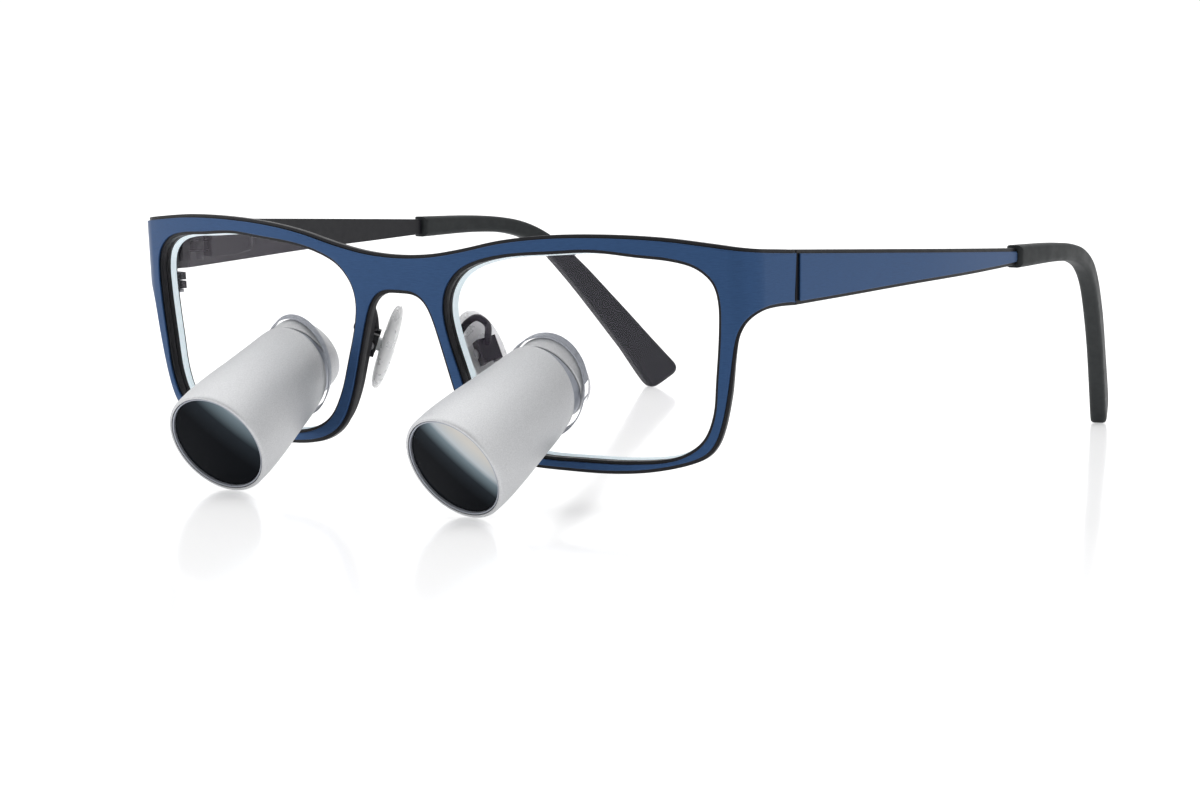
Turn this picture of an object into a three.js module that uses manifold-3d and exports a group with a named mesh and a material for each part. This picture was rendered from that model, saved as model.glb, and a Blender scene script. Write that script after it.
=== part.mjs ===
// Dental loupes: a rimmed metal spectacle frame that carries two Galilean telescopes through its lenses.
// Millimetres. +X is the wearer's left, -Y is ahead of the wearer and +Z is up. The loupes stand on the
// front rims of the two telescopes and on the two temple tips, as they do when they are laid on a table.
//
// The front and the temples are sheets, so each piece is drawn flat, as a length along the sheet, a height
// and a depth from the sheet's outer face, and is then bent onto the sheet's path.

import * as THREE from 'three';
import { mergeVertices } from 'three/addons/utils/BufferGeometryUtils.js';
import Module from 'manifold-3d';

const wasm = await Module();
wasm.setup();

// ---- Driving dimensions -------------------------------------------------------------------------

const GAP = 0.12; // clearance between neighbouring pieces
const SHEET = 1.05; // thickness of the titanium sheet
const FACING = 0.3; // thickness of the coloured facing
const BORDER = 0.6; // dark border left around the facing

const BRIDGE_FLAT = 5; // half length of the flat middle of the bridge
const WRAP_RADIUS = 250; // face-form curve of the front on each side of the flat middle
const CORNER_START = 64; // arc length at which the front starts to turn into the end piece
const CORNER_RADIUS = 5.5;
const END_PIECE_ANGLE = THREE.MathUtils.degToRad(84);
const SEAM = 78.5; // arc length at which the end piece meets the temple
const PANTOSCOPIC = 0.0857; // forward lean of the front per unit of height

const RIM_WIDTH = 1.0;
const RIM_DEPTH = 2.8;
const RIM_LIP = 0.8; // front lip of the eyewire, ahead of the groove that holds the lens edge
const RIM_GROOVE = 1.64;
const GROOVE_DEPTH = 0.4;
const RIM_SPLIT_HEIGHT = 7.4; // height at which the eyewire is split for its closing block
const LENS_THICKNESS = 1.4;

const SLEEVE_START = 90.6; // where the temple tip sleeve begins
const SLEEVE_THICKNESS = 3.2;

const HINGE_INSET = 3.4; // hinge axis, inwards from the outer face
const HINGE_HEIGHT = 13.1;
const KNUCKLE_RADIUS = 1.35;
const SEAM_GAP = 0.25;

const OBJECTIVE_CENTRE = new THREE.Vector3(26.1, -18.6, -17.3);
const CONVERGENCE = THREE.MathUtils.degToRad(3.9);
const DECLINATION = THREE.MathUtils.degToRad(27.3);
const TELESCOPE_SEGMENTS = 28;
const INNER_SEGMENTS = 20;
const TELESCOPE_LENGTH = 30.1;

const PAD_CENTRE = new THREE.Vector3(10.7, 9.4, -1.9);
const PAD_FACE_ANGLE = THREE.MathUtils.degToRad(36); // pad face turned back from straight sideways
const PAD_FACE_DROP = THREE.MathUtils.degToRad(18); // pad face turned down, as the nose widens downwards
const PAD_SPLAY = THREE.MathUtils.degToRad(26);
const PAD_LENGTH = 16;
const PAD_WIDTH = 8.4;
const PAD_THICKNESS = 2.6;

// ---- Materials ----------------------------------------------------------------------------------

const material = (color, roughness, metalness) => (
  new THREE.MeshStandardMaterial({ color, roughness, metalness })
);
const clear = (color, roughness, opacity) => {
  const glass = material(color, roughness, 0);
  glass.transparent = true;
  glass.opacity = opacity;
  return glass;
};

const BLACK_METAL = material(0x111216, 0.42, 0.7);
const BLUE_METAL = material(0x2c5084, 0.38, 0.65);
const STEEL = material(0x8d9094, 0.3, 1);
const SATIN_ALUMINIUM = material(0xc4c6ca, 0.45, 0.9);
const POLISHED_ALUMINIUM = material(0xb4b8bf, 0.15, 1);
const BLACK_ANODISED = material(0x0c0d0f, 0.6, 0.4);
const BLACK_PLASTIC = material(0x17181a, 0.6, 0);
const CLEAR_LENS = clear(0xf1f7f7, 0.03, 0.2);
const COATED_GLASS = clear(0x1a2026, 0.04, 0.6);
const CLEAR_SILICONE = clear(0xe9eeee, 0.35, 0.5);
const CLEAR_RESIN = clear(0xf3f5f5, 0.15, 0.4);
const WHITE_CORE = clear(0xdfe3e4, 0.3, 0.7);

// ---- Mesh helpers -------------------------------------------------------------------------------

function weld(geometry) {
  const bare = geometry.clone();
  bare.deleteAttribute('normal');
  bare.deleteAttribute('uv');
  return mergeVertices(bare, 1e-4);
}

function toSolid(geometry) {
  const welded = weld(geometry);
  const vertProperties = new Float32Array(welded.attributes.position.array);
  const triVerts = new Uint32Array(welded.index.array);
  return new wasm.Manifold(new wasm.Mesh({ numProp: 3, vertProperties, triVerts }));
}

function toGeometry(solid) {
  const mesh = solid.getMesh();
  const geometry = new THREE.BufferGeometry();
  geometry.setAttribute('position', new THREE.BufferAttribute(new Float32Array(mesh.vertProperties), 3));
  geometry.setIndex(new THREE.BufferAttribute(new Uint32Array(mesh.triVerts), 1));
  return geometry;
}

const join = (...parts) => toGeometry(parts.map(toSolid).reduce((sum, part) => sum.add(part)));
const cut = (body, ...tools) => (
  toGeometry(tools.map(toSolid).reduce((rest, tool) => rest.subtract(tool), toSolid(body)))
);
const overlapOf = (one, other) => toGeometry(toSolid(one).intersect(toSolid(other)));

// Cuts a triangle along the crossing points that its edges may carry, fanning from one of them.
function splitTriangle(a, ab, b, bc, c, ca) {
  const ring = [a, ab, b, bc, c, ca].filter((index) => index >= 0);
  const start = Math.max(0, ring.findIndex((index) => index === ab || index === bc || index === ca));
  const turned = [...ring.slice(start), ...ring.slice(0, start)];
  return turned.slice(2).map((index, i) => [turned[0], turned[i + 1], index]);
}

// Splits triangles where they cross a station along the sheet; new points are pushed onto points.
function crossStation(points, triangles, station) {
  const crossings = new Map();
  const crossing = (a, b) => {
    const [low, high] = a < b ? [a, b] : [b, a];
    const key = `${low}_${high}`;
    if (!crossings.has(key)) {
      const [near, far] = [points[low].x - station, points[high].x - station];
      const apart = Math.min(Math.abs(near), Math.abs(far)) > 0.02 && near * far < 0;
      const point = points[low].clone().lerp(points[high], near / (near - far));
      crossings.set(key, apart ? points.push(point) - 1 : -1);
    }
    return crossings.get(key);
  };
  return triangles.flatMap(([a, b, c]) => (
    splitTriangle(a, crossing(a, b), b, crossing(b, c), c, crossing(c, a))
  ));
}

// Adds edges across a flat solid at each station, so that the sheet can be bent there.
function slice(geometry, stations) {
  const welded = weld(geometry);
  const points = [];
  for (let i = 0; i < welded.attributes.position.count; i++) {
    points.push(new THREE.Vector3().fromBufferAttribute(welded.attributes.position, i));
  }
  let triangles = [];
  for (let i = 0; i < welded.index.count; i += 3) {
    triangles.push([0, 1, 2].map((corner) => welded.index.getX(i + corner)));
  }
  for (const station of stations) triangles = crossStation(points, triangles, station);
  const sliced = new THREE.BufferGeometry().setFromPoints(points);
  sliced.setIndex(triangles.flat());
  return sliced;
}

// Directed edges that only one of the triangles has, as a map from each edge's start to its end.
function rimEdges(triangles) {
  const edges = new Set(triangles.flatMap(([a, b, c]) => [`${a}_${b}`, `${b}_${c}`, `${c}_${a}`]));
  const ends = [...edges].map((edge) => edge.split('_').map(Number));
  return new Map(ends.filter(([a, b]) => !edges.has(`${b}_${a}`)));
}

function loopsOf(edges) {
  const next = new Map(edges);
  const loops = [];
  while (next.size > 0) {
    const loop = [next.keys().next().value];
    while (next.has(loop.at(-1))) {
      const from = loop.at(-1);
      loop.push(next.get(from));
      next.delete(from);
    }
    loops.push(loop.slice(0, -1));
  }
  return loops;
}

// Triangles of an outline, all wound anticlockwise, as indices into the outline's and the holes' points.
function triangulate(contour, holes = []) {
  const points = [contour, ...holes].flat();
  return THREE.ShapeUtils.triangulateShape(contour, holes).map((cell) => (
    THREE.ShapeUtils.area(cell.map((corner) => points[corner])) > 0 ? cell : cell.toReversed()
  ));
}

// A flat plate whose faces are divided at the stations and nowhere else.
function plate(outline, near, far, openings, stations) {
  const { isClockWise } = THREE.ShapeUtils;
  const contour = isClockWise(outline) ? outline.toReversed() : outline;
  const holes = openings.map((hole) => (isClockWise(hole) ? hole : hole.toReversed()));
  const rings = [contour, ...holes];
  const points = rings.flat().map((point) => point.clone());
  let triangles = triangulate(contour, holes);
  for (const station of stations) triangles = crossStation(points, triangles, station);
  const rim = rimEdges(triangles);
  const limits = [-Infinity, ...stations, Infinity];
  const faces = limits.slice(1).flatMap((limit, i) => {
    const strip = triangles.filter((corners) => {
      const middle = corners.reduce((sum, corner) => sum + points[corner].x, 0) / 3;
      return middle > limits[i] && middle <= limit;
    });
    return loopsOf(rimEdges(strip)).flatMap((loop) => {
      const kept = loop.filter((index) => rim.has(index));
      const cells = triangulate(kept.map((index) => points[index]));
      return cells.map((cell) => cell.map((corner) => kept[corner]));
    });
  });
  const count = points.length;
  const level = (depth) => points.map((point) => new THREE.Vector3(point.x, point.y, depth));
  const geometry = new THREE.BufferGeometry().setFromPoints([...level(near), ...level(far)]);
  const walls = [...rim].flatMap(([a, b]) => [a, b, b + count, a, b + count, a + count]);
  const caps = faces.flatMap(([a, b, c]) => [a + count, b + count, c + count, c, b, a]);
  geometry.setIndex([...caps, ...walls]);
  return geometry;
}

// Moves every vertex through a function of its flat length, height and depth.
function bend(geometry, pointAt) {
  const bent = geometry.clone();
  const position = bent.attributes.position;
  for (let i = 0; i < position.count; i++) {
    const { x, y, z } = pointAt(position.getX(i), position.getY(i), position.getZ(i));
    position.setXYZ(i, x, y, z);
  }
  return bent;
}

function insideOut(geometry) {
  const index = geometry.index;
  for (let i = 0; i < index.count; i += 3) {
    const first = index.getX(i);
    index.setX(i, index.getX(i + 1));
    index.setX(i + 1, first);
  }
  return geometry;
}

const mirrored = (geometry) => insideOut(weld(geometry).scale(-1, 1, 1));

function signedVolume({ attributes, index }) {
  const corner = [0, 1, 2].map(() => new THREE.Vector3());
  let volume = 0;
  for (let i = 0; i < index.count; i += 3) {
    corner.forEach((point, k) => point.fromBufferAttribute(attributes.position, index.getX(i + k)));
    volume += corner[0].dot(corner[1].clone().cross(corner[2]));
  }
  return volume;
}

const outward = (geometry) => (signedVolume(geometry) > 0 ? geometry : insideOut(geometry));

// ---- Outline helpers ----------------------------------------------------------------------------

const points2 = (pairs) => pairs.map(([x, y]) => new THREE.Vector2(x, y));
const smooth = (pairs, count) => new THREE.SplineCurve(points2(pairs)).getPoints(count);

function closedSmooth(pairs, count) {
  const knots = pairs.map(([x, y]) => new THREE.Vector3(x, y, 0));
  const curve = new THREE.CatmullRomCurve3(knots, true, 'centripetal');
  return curve.getPoints(count).slice(0, count).map((point) => new THREE.Vector2(point.x, point.y));
}

// Offsets a closed outline; a positive distance grows it.
function offset(outline, distance) {
  const sign = THREE.ShapeUtils.area(outline) > 0 ? 1 : -1;
  return outline.map((point, i) => {
    const before = outline[(i + outline.length - 1) % outline.length];
    const after = outline[(i + 1) % outline.length];
    const one = point.clone().sub(before).normalize();
    const two = after.clone().sub(point).normalize();
    const normal = new THREE.Vector2(one.y + two.y, -one.x - two.x).normalize();
    const widen = 1 / Math.max(0.5, normal.dot(new THREE.Vector2(one.y, -one.x)));
    return point.clone().addScaledVector(normal, sign * distance * widen);
  });
}

function slab(outline, near, far, holes = []) {
  const shape = new THREE.Shape(outline);
  shape.holes = holes.map((hole) => new THREE.Path(hole));
  const geometry = new THREE.ExtrudeGeometry(shape, { depth: far - near, bevelEnabled: false, steps: 1 });
  geometry.translate(0, 0, near);
  return geometry;
}

const rectangle = (x0, y0, x1, y1) => points2([[x0, y0], [x1, y0], [x1, y1], [x0, y1]]);
const block = (x0, x1, y0, y1, z0, z1) => slab(rectangle(x0, y0, x1, y1), z0, z1);

function rod(radius, from, to, sides = 16) {
  const start = new THREE.Vector3(...from);
  const along = new THREE.Vector3(...to).sub(start);
  const geometry = new THREE.CylinderGeometry(radius, radius, along.length(), sides);
  geometry.translate(0, along.length() / 2, 0);
  const up = new THREE.Vector3(0, 1, 0);
  geometry.applyQuaternion(new THREE.Quaternion().setFromUnitVectors(up, along.normalize()));
  return geometry.translate(start.x, start.y, start.z);
}

// ---- Sheet paths --------------------------------------------------------------------------------

const CORNER_ANGLE = (CORNER_START - BRIDGE_FLAT) / WRAP_RADIUS;
const CORNER_END = CORNER_START + CORNER_RADIUS * (END_PIECE_ANGLE - CORNER_ANGLE);

// Outer face of the front, seen from above, at an arc length from its middle.
function frontPath(length) {
  if (length <= CORNER_START) {
    const angle = Math.max(0, length - BRIDGE_FLAT) / WRAP_RADIUS;
    const x = Math.min(length, BRIDGE_FLAT) + WRAP_RADIUS * Math.sin(angle);
    return { x, y: WRAP_RADIUS * (1 - Math.cos(angle)), angle };
  }
  const angle = Math.min(CORNER_ANGLE + (length - CORNER_START) / CORNER_RADIUS, END_PIECE_ANGLE);
  const straight = Math.max(0, length - CORNER_END);
  const centreX = BRIDGE_FLAT + (WRAP_RADIUS - CORNER_RADIUS) * Math.sin(CORNER_ANGLE);
  const centreY = WRAP_RADIUS - (WRAP_RADIUS - CORNER_RADIUS) * Math.cos(CORNER_ANGLE);
  return {
    x: centreX + CORNER_RADIUS * Math.sin(angle) + straight * Math.cos(angle),
    y: centreY - CORNER_RADIUS * Math.cos(angle) + straight * Math.sin(angle),
    angle,
  };
}

function frontPoint(length, height, depth) {
  const side = Math.sign(length) || 1;
  const { x, y, angle } = frontPath(Math.abs(length));
  const lean = PANTOSCOPIC * (1 - THREE.MathUtils.smoothstep(Math.abs(length), CORNER_START - 2, SEAM));
  return {
    x: side * (x + depth * Math.sin(angle)),
    y: y - depth * Math.cos(angle) - lean * height,
    z: height,
  };
}

const spaced = (from, to, count) => (
  Array.from({ length: count + 1 }, (_, i) => from + (to - from) * i / count)
);
const FACE_STATIONS = spaced(BRIDGE_FLAT, CORNER_START - 9, 6);
const CORNER_STATIONS = spaced(CORNER_START, CORNER_END, 6);
const HALF_STATIONS = [...FACE_STATIONS, ...CORNER_STATIONS, CORNER_END + 3.8];
const FRONT_STATIONS = [...HALF_STATIONS.map((length) => -length).reverse(), ...HALF_STATIONS];
const onFront = (geometry) => bend(slice(geometry, FRONT_STATIONS), frontPoint);
const frontPlate = (outline, near, far, holes) => (
  bend(plate(outline, near, far, holes, FRONT_STATIONS), frontPoint)
);

const SEAM_POINT = frontPath(SEAM);
const templeCurve = new THREE.CatmullRomCurve3([
  [SEAM_POINT.x - 0.1, SEAM_POINT.y - 1], [SEAM_POINT.x + 1.2, 42], [70.6, 66], [70.2, 91], [68.7, 112],
  [65.8, 127], [62, 138], [57.8, 148], [53.4, 158], [50.8, 163],
].map(([x, y]) => new THREE.Vector3(x, y, 0)), false, 'centripetal');
const TEMPLE_SAMPLES = templeCurve.getPoints(400);

// Outer face of the temple at a distance back along Y; the temple curls in towards its tip.
function templePoint(back, height, depth) {
  const last = TEMPLE_SAMPLES.length - 2;
  const index = Math.min(Math.max(TEMPLE_SAMPLES.findIndex((point) => point.y > back) - 1, 0), last);
  const [a, b] = [TEMPLE_SAMPLES[index], TEMPLE_SAMPLES[index + 1]];
  const [p, q] = [TEMPLE_SAMPLES[Math.max(index - 6, 0)], TEMPLE_SAMPLES[Math.min(index + 7, last + 1)]];
  const slope = (q.x - p.x) / (q.y - p.y);
  const x = a.x + (b.x - a.x) * (back - a.y) / (b.y - a.y);
  const size = Math.hypot(1, slope);
  return { x: x + depth / size, y: back - depth * slope / size, z: height };
}

const TEMPLE_STATIONS = [...spaced(33, 98, 5), ...spaced(107, 153, 6)];
const onTemple = (geometry) => bend(slice(geometry, TEMPLE_STATIONS), templePoint);

// ---- Front --------------------------------------------------------------------------------------

const TOP_EDGE = [
  [0, 15.5], [7, 15.9], [14, 17.1], [22, 18.85], [31, 20], [42, 20.5], [53, 20.3], [62, 19.5], [69, 18.75],
  [SEAM, 18],
];
const LOWER_EDGE = [
  [SEAM, 8.85], [74, 8.9], [69.9, 8.4], [67.4, 7], [65.9, 4.7], [65.1, 1.5], [64.4, -2.5], [63.5, -7],
  [62.4, -11], [61.2, -13.8], [59.4, -15.8], [56.7, -17.1], [50, -18.8], [43, -19.6], [33, -19.7],
  [24, -19.3],
  [19, -18.2], [15.6, -16.3], [13.4, -13.8], [11.4, -9.5], [9.6, -4], [7.9, 1.5], [6.6, 5.2], [5.2, 7.6],
  [3.2, 8.7], [0, 8.8],
];
const APERTURE_KNOTS = [
  [62.5, 3], [62.8, 7], [62.8, 10], [61.9, 13.3], [58.9, 15.8], [54.7, 16.9], [48, 17.4], [40, 17.95],
  [32, 17.4], [24, 16.7], [18, 15.5], [13.2, 13.4], [10.3, 10], [9.5, 6.5], [10.1, 2.5], [12.2, -4],
  [14.2, -9.5], [17, -14], [20.5, -16.3], [27, -17.8], [36, -18], [46, -17.8], [54, -16.6], [58.8, -13.6],
  [61, -9], [61.8, -3],
];
const APERTURE = closedSmooth(APERTURE_KNOTS, 2 * APERTURE_KNOTS.length); // facing's inner edge

const flip = (outline) => outline.map((point) => new THREE.Vector2(-point.x, point.y)).reverse();

function frontOutline() {
  const half = [...smooth(TOP_EDGE, 16), ...smooth(LOWER_EDGE, 44)];
  return [...half.slice(0, -1), ...flip(half).slice(0, -1)];
}

const SHEET_FACE = -FACING - GAP;
const SHEET_BACK = SHEET_FACE - SHEET;
const RIM_FACE = SHEET_BACK - GAP;
const RIM_BACK = RIM_FACE - RIM_DEPTH;
const LIP_EDGE = 0.05 - BORDER; // inner edge of the eyewire's lips and of the sheet's openings
const LENS_MIDDLE = RIM_FACE - RIM_LIP - RIM_GROOVE / 2;

function frontSheet() {
  const opening = offset(APERTURE, LIP_EDGE);
  return frontPlate(frontOutline(), SHEET_BACK, SHEET_FACE, [opening, flip(opening)]);
}

function frontFacing() {
  const outline = offset(frontOutline(), -BORDER);
  return frontPlate(outline, -FACING, 0, [APERTURE, flip(APERTURE)]);
}

// Grooved wire behind the sheet, split at its outer side between the two halves of the closing block.
const CLOSING_BLOCK = { inner: 62.1, outer: 64.1, height: 1.5, back: RIM_BACK - 1.6 };
const CLOSING_SCREW = { length: 63.1, depth: RIM_BACK - 0.8, radius: 0.35, head: 0.65 };

// A section of [offset, depth] points carried round a closed outline.
function carried(outline, section) {
  const rings = section.map(([distance]) => offset(outline, distance));
  const points = outline.flatMap((_, i) => (
    section.map(([, depth], k) => new THREE.Vector3(rings[k][i].x, rings[k][i].y, depth))
  ));
  const at = (i, k) => (i % outline.length) * section.length + (k % section.length);
  const faces = outline.flatMap((_, i) => section.flatMap((__, k) => [
    at(i, k), at(i + 1, k), at(i + 1, k + 1), at(i, k), at(i + 1, k + 1), at(i, k + 1),
  ]));
  const geometry = new THREE.BufferGeometry().setFromPoints(points);
  geometry.setIndex(faces);
  return outward(geometry);
}

function eyewire() {
  const [lip, groove] = [LIP_EDGE, LIP_EDGE + GROOVE_DEPTH];
  const [groovedBack, groovedFront] = [LENS_MIDDLE - RIM_GROOVE / 2, LENS_MIDDLE + RIM_GROOVE / 2];
  const wire = carried(APERTURE, [
    [RIM_WIDTH, RIM_FACE], [lip, RIM_FACE], [lip, groovedFront], [groove, groovedFront],
    [groove, groovedBack], [lip, groovedBack], [lip, RIM_BACK], [RIM_WIDTH, RIM_BACK],
  ]);
  const { inner, outer, height, back } = CLOSING_BLOCK;
  const split = RIM_SPLIT_HEIGHT;
  const lugs = block(inner, outer, split - height, split + height, back, RIM_BACK + 0.4);
  const slit = block(inner - 3, outer + 4, split - 0.12, split + 0.12, back - 1, RIM_FACE + 1);
  const { length, depth, radius } = CLOSING_SCREW;
  const bottom = split - height - 1;
  const top = split + height + 1;
  const bore = rod(radius + 0.2, [length, bottom, depth], [length, top, depth], 12);
  return bend(cut(join(wire, lugs), slit, bore), frontPoint);
}

function eyewireScrew() {
  const { length, depth, radius, head } = CLOSING_SCREW;
  const bottom = RIM_SPLIT_HEIGHT - CLOSING_BLOCK.height;
  const top = RIM_SPLIT_HEIGHT + CLOSING_BLOCK.height;
  const shank = rod(radius, [length, bottom - 0.5, depth], [length, top + 0.1, depth], 12);
  const cap = rod(head, [length, bottom - 0.75, depth], [length, bottom - 0.15, depth], 12);
  return bend(join(shank, cap), frontPoint);
}

// ---- Telescopes ---------------------------------------------------------------------------------

// Profiles are [distance back from the objective rim, radius] and are revolved about the optical axis.
const SHELL_OUTSIDE = [
  [0, 9.3], [0, 9.6], [0.2, 9.8], [0.7, 9.92], [4, 9.92], [9, 9.55], [14, 8.97], [19, 8.45], [22, 8.08],
  [23.8, 7.78], [24.4, 7.5], [24.6, 7.15],
];
const SHELL_INSIDE = [[24.6, 6.65], [18.9, 6.65], [18.2, 7.5], [7, 8], [7, 9], [1.2, 9], [1.2, 9.3]];
const BEZEL = [[0.15, 8.93], [0.15, 9.15], [1.08, 9.15], [1.08, 8.93]];
const CROWN = [[0.05, 0], [0.12, 3], [0.3, 6], [0.55, 8.8], [2.4, 8.8], [3.6, 5], [4, 0]];
const FLINT = [[4.15, 0], [3.75, 5], [2.6, 8.8], [5.2, 8.8], [5, 4.5], [4.9, 0]];
const BAFFLE = [[7.3, 6.9], [7.3, 7.7], [17.6, 7.2], [18.9, 6.4], [22.6, 6.35], [22.6, 5.7], [17.5, 6]];
const POLISHED_RING = [[24.75, 6.7], [24.75, 7.0], [26.45, 7.0], [26.45, 6.7]];
const EYEPIECE_RING = [
  [23, 5.7], [23, 6.5], [26.6, 6.5], [26.6, 7.1], [26.8, 7.22], [28.8, 7.22], [29.6, 7.05], [30.1, 6.6],
  [30.1, 5.8], [29.5, 5.6], [29.2, 5.1], [26.4, 5.1],
];
const EYEPIECE = [[27.7, 0], [27.4, 2.5], [26.6, 4.95], [28.9, 4.95], [28.4, 2.5], [28.2, 0]];

function revolve(profile, segments = TELESCOPE_SEGMENTS) {
  const closed = profile[0][1] > 0 ? [...profile, profile[0]] : profile;
  const points = closed.map(([back, radius]) => new THREE.Vector2(radius, back));
  return outward(weld(new THREE.LatheGeometry(points, segments)));
}

// The barrel's rear end is cut on a slant, and the ring behind it is a wedge that squares the slant up.
const CANT = 0.21;
const CANT_SPAN = [19, 24];

function canted(geometry, share) {
  const { position } = geometry.attributes;
  for (let i = 0; i < position.count; i++) {
    const back = position.getY(i);
    position.setY(i, back + CANT * position.getZ(i) * share(back));
  }
  return geometry;
}

const cantedShell = (geometry) => (
  canted(geometry, (back) => THREE.MathUtils.smoothstep(back, ...CANT_SPAN))
);
const cantedRing = (geometry) => canted(geometry, (back) => (back < POLISHED_RING[2][0] ? 1 : 0));

function telescopePlace(side) {
  const place = new THREE.Group();
  const level = Math.cos(DECLINATION);
  const back = new THREE.Vector3(
    side * Math.sin(CONVERGENCE) * level,
    Math.cos(CONVERGENCE) * level,
    Math.sin(DECLINATION),
  );
  place.position.set(side * OBJECTIVE_CENTRE.x, OBJECTIVE_CENTRE.y, OBJECTIVE_CENTRE.z);
  place.quaternion.setFromUnitVectors(new THREE.Vector3(0, 1, 0), back);
  place.updateMatrix();
  return place;
}

// Outer envelope of the rear of the telescope, grown by a margin, in the frame of the loupes.
function telescopeEnvelope(margin) {
  const profile = [[17, 8.85], [28.5, 7.45], [TELESCOPE_LENGTH, 7.3], [38, 7.3]];
  const grown = profile.map(([back, radius]) => [back, radius + margin]);
  return revolve([[17, 0], ...grown, [38, 0]], 24).applyMatrix4(telescopePlace(1).matrix);
}

// ---- Carrier lenses -----------------------------------------------------------------------------

const LENS_SPAN = [LENS_MIDDLE - LENS_THICKNESS / 2, LENS_MIDDLE + LENS_THICKNESS / 2];
const BOND_WIDTH = 0.2;

function carrierLens() {
  const blank = frontPlate(offset(APERTURE, LIP_EDGE + GROOVE_DEPTH - 0.15), ...LENS_SPAN, []);
  return cut(blank, telescopeEnvelope(2 * GAP + BOND_WIDTH));
}

// Cement ring between the telescope and the edge of the lens's hole.
function bondCollar() {
  const around = frontPlate(rectangle(14, -19, 44, 9), ...LENS_SPAN, []);
  return cut(overlapOf(around, telescopeEnvelope(GAP + BOND_WIDTH)), telescopeEnvelope(GAP));
}

// ---- Nose pads ----------------------------------------------------------------------------------

const PAD_PLACE = (() => {
  const level = Math.cos(PAD_FACE_DROP);
  const face = new THREE.Vector3(
    -Math.cos(PAD_FACE_ANGLE) * level,
    Math.sin(PAD_FACE_ANGLE) * level,
    -Math.sin(PAD_FACE_DROP),
  );
  const length = new THREE.Vector3(-Math.sin(PAD_SPLAY), 0, Math.cos(PAD_SPLAY));
  length.addScaledVector(face, -length.dot(face)).normalize();
  const width = new THREE.Vector3().crossVectors(length, face);
  return new THREE.Matrix4().makeBasis(width, length, face).setPosition(PAD_CENTRE);
})();

const onPad = (geometry) => geometry.applyMatrix4(PAD_PLACE);

function padOutline(grow) {
  const curve = new THREE.EllipseCurve(0, 0, PAD_WIDTH / 2 + grow, PAD_LENGTH / 2 + grow, 0, 2 * Math.PI);
  return curve.getPoints(20).slice(0, 20);
}

// The pad's face is at +Z of its own frame, towards the nose; its stem side, with the box, is at -Z.
const PAD_BOX = { half: 1.7, height: 2.1, near: -4.9, far: -1.9, wall: 0.85 };
const PAD_PIN = { depth: -3.1, shank: 0.45, bore: 0.65, head: 0.85 };
const PAD_EDGE = 0.8; // depth of the pad's rounded edge
const PAD_CORE = { margin: 1.75, near: -0.95, far: -0.05 };

const alongPin = (radius, from, to, sides = 12) => (
  rod(radius, [from, 0, PAD_PIN.depth], [to, 0, PAD_PIN.depth], sides)
);

function nosePad() {
  const shape = new THREE.Shape(padOutline(-PAD_EDGE));
  const bevel = { bevelThickness: PAD_EDGE, bevelSize: PAD_EDGE, bevelSegments: 2 };
  const depth = PAD_THICKNESS - 2 * PAD_EDGE;
  const pad = new THREE.ExtrudeGeometry(shape, { depth, steps: 1, ...bevel });
  pad.translate(0, 0, PAD_EDGE - PAD_THICKNESS / 2);
  const slot = slab(padOutline(0.25 - PAD_CORE.margin), -PAD_THICKNESS, PAD_CORE.far + 0.15);
  return onPad(cut(pad, slot));
}

// Stiff plate inside the soft pad, with the lug that sits in the pad box.
function padCore() {
  const { margin, near, far } = PAD_CORE;
  const plate = slab(padOutline(-margin), near, far);
  const lug = block(-0.55, 0.55, -1.1, 1.1, PAD_PIN.depth - 0.8, near + 0.1);
  return onPad(cut(join(plate, lug), alongPin(PAD_PIN.bore, -2, 2)));
}

function padScrew() {
  const { half } = PAD_BOX;
  const shank = alongPin(PAD_PIN.shank, -half - 0.1, half + 0.3);
  const head = alongPin(PAD_PIN.head, half + 0.15, half + 0.6, 14);
  return onPad(join(shank, head));
}

const PAD_ARM_FOOT = { length: 9.4, height: 1.8 }; // where the arm leaves the eyewire
const PAD_WIRE = 0.6; // radius

function padArm() {
  const { half, height, near, far, wall } = PAD_BOX;
  const shell = block(-half, half, -height, height, near, far);
  const pocket = block(-wall, wall, -height - 1, height + 1, near + 0.45, far + 1);
  const box = onPad(cut(shell, pocket, alongPin(PAD_PIN.bore, -3, 3)));
  const atPad = (x, y, z) => new THREE.Vector3(x, y, z).applyMatrix4(PAD_PLACE);
  const foot = frontPoint(PAD_ARM_FOOT.length, PAD_ARM_FOOT.height, RIM_BACK - 0.55);
  const path = new THREE.CatmullRomCurve3([
    new THREE.Vector3(foot.x, foot.y, foot.z),
    new THREE.Vector3(foot.x + 1.1, foot.y + 1, foot.z + 2.1),
    new THREE.Vector3(foot.x + 2.4, foot.y + 2, foot.z + 3),
    new THREE.Vector3(foot.x + 4.1, foot.y + 2.7, foot.z + 1.9),
    atPad(0, 1.9, near - 1.1),
    atPad(0, 1.2, near + 0.15),
  ]);
  const round = new THREE.EllipseCurve(0, 0, PAD_WIRE, PAD_WIRE, 0, 2 * Math.PI).getPoints(8).slice(0, 8);
  const options = { steps: 14, extrudePath: path, bevelEnabled: false };
  return join(box, new THREE.ExtrudeGeometry(new THREE.Shape(round), options));
}

// ---- Spring hinges ------------------------------------------------------------------------------

const HINGE = (() => {
  const seam = frontPath(SEAM);
  return { x: seam.x - HINGE_INSET, y: seam.y + 0.2, z: HINGE_HEIGHT };
})();

function knuckle(low, high) {
  return rod(KNUCKLE_RADIUS, [HINGE.x, HINGE.y, low], [HINGE.x, HINGE.y, high], 20);
}

const HINGE_BORE = 0.65;
const hingeBore = () => rod(HINGE_BORE, [HINGE.x, HINGE.y, 5], [HINGE.x, HINGE.y, 20], 12);

// Leaf on the end piece with the top and bottom knuckles.
const LEAF = { half: 2.6, slot: 1, near: -2.9, far: -1.6 };

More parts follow.
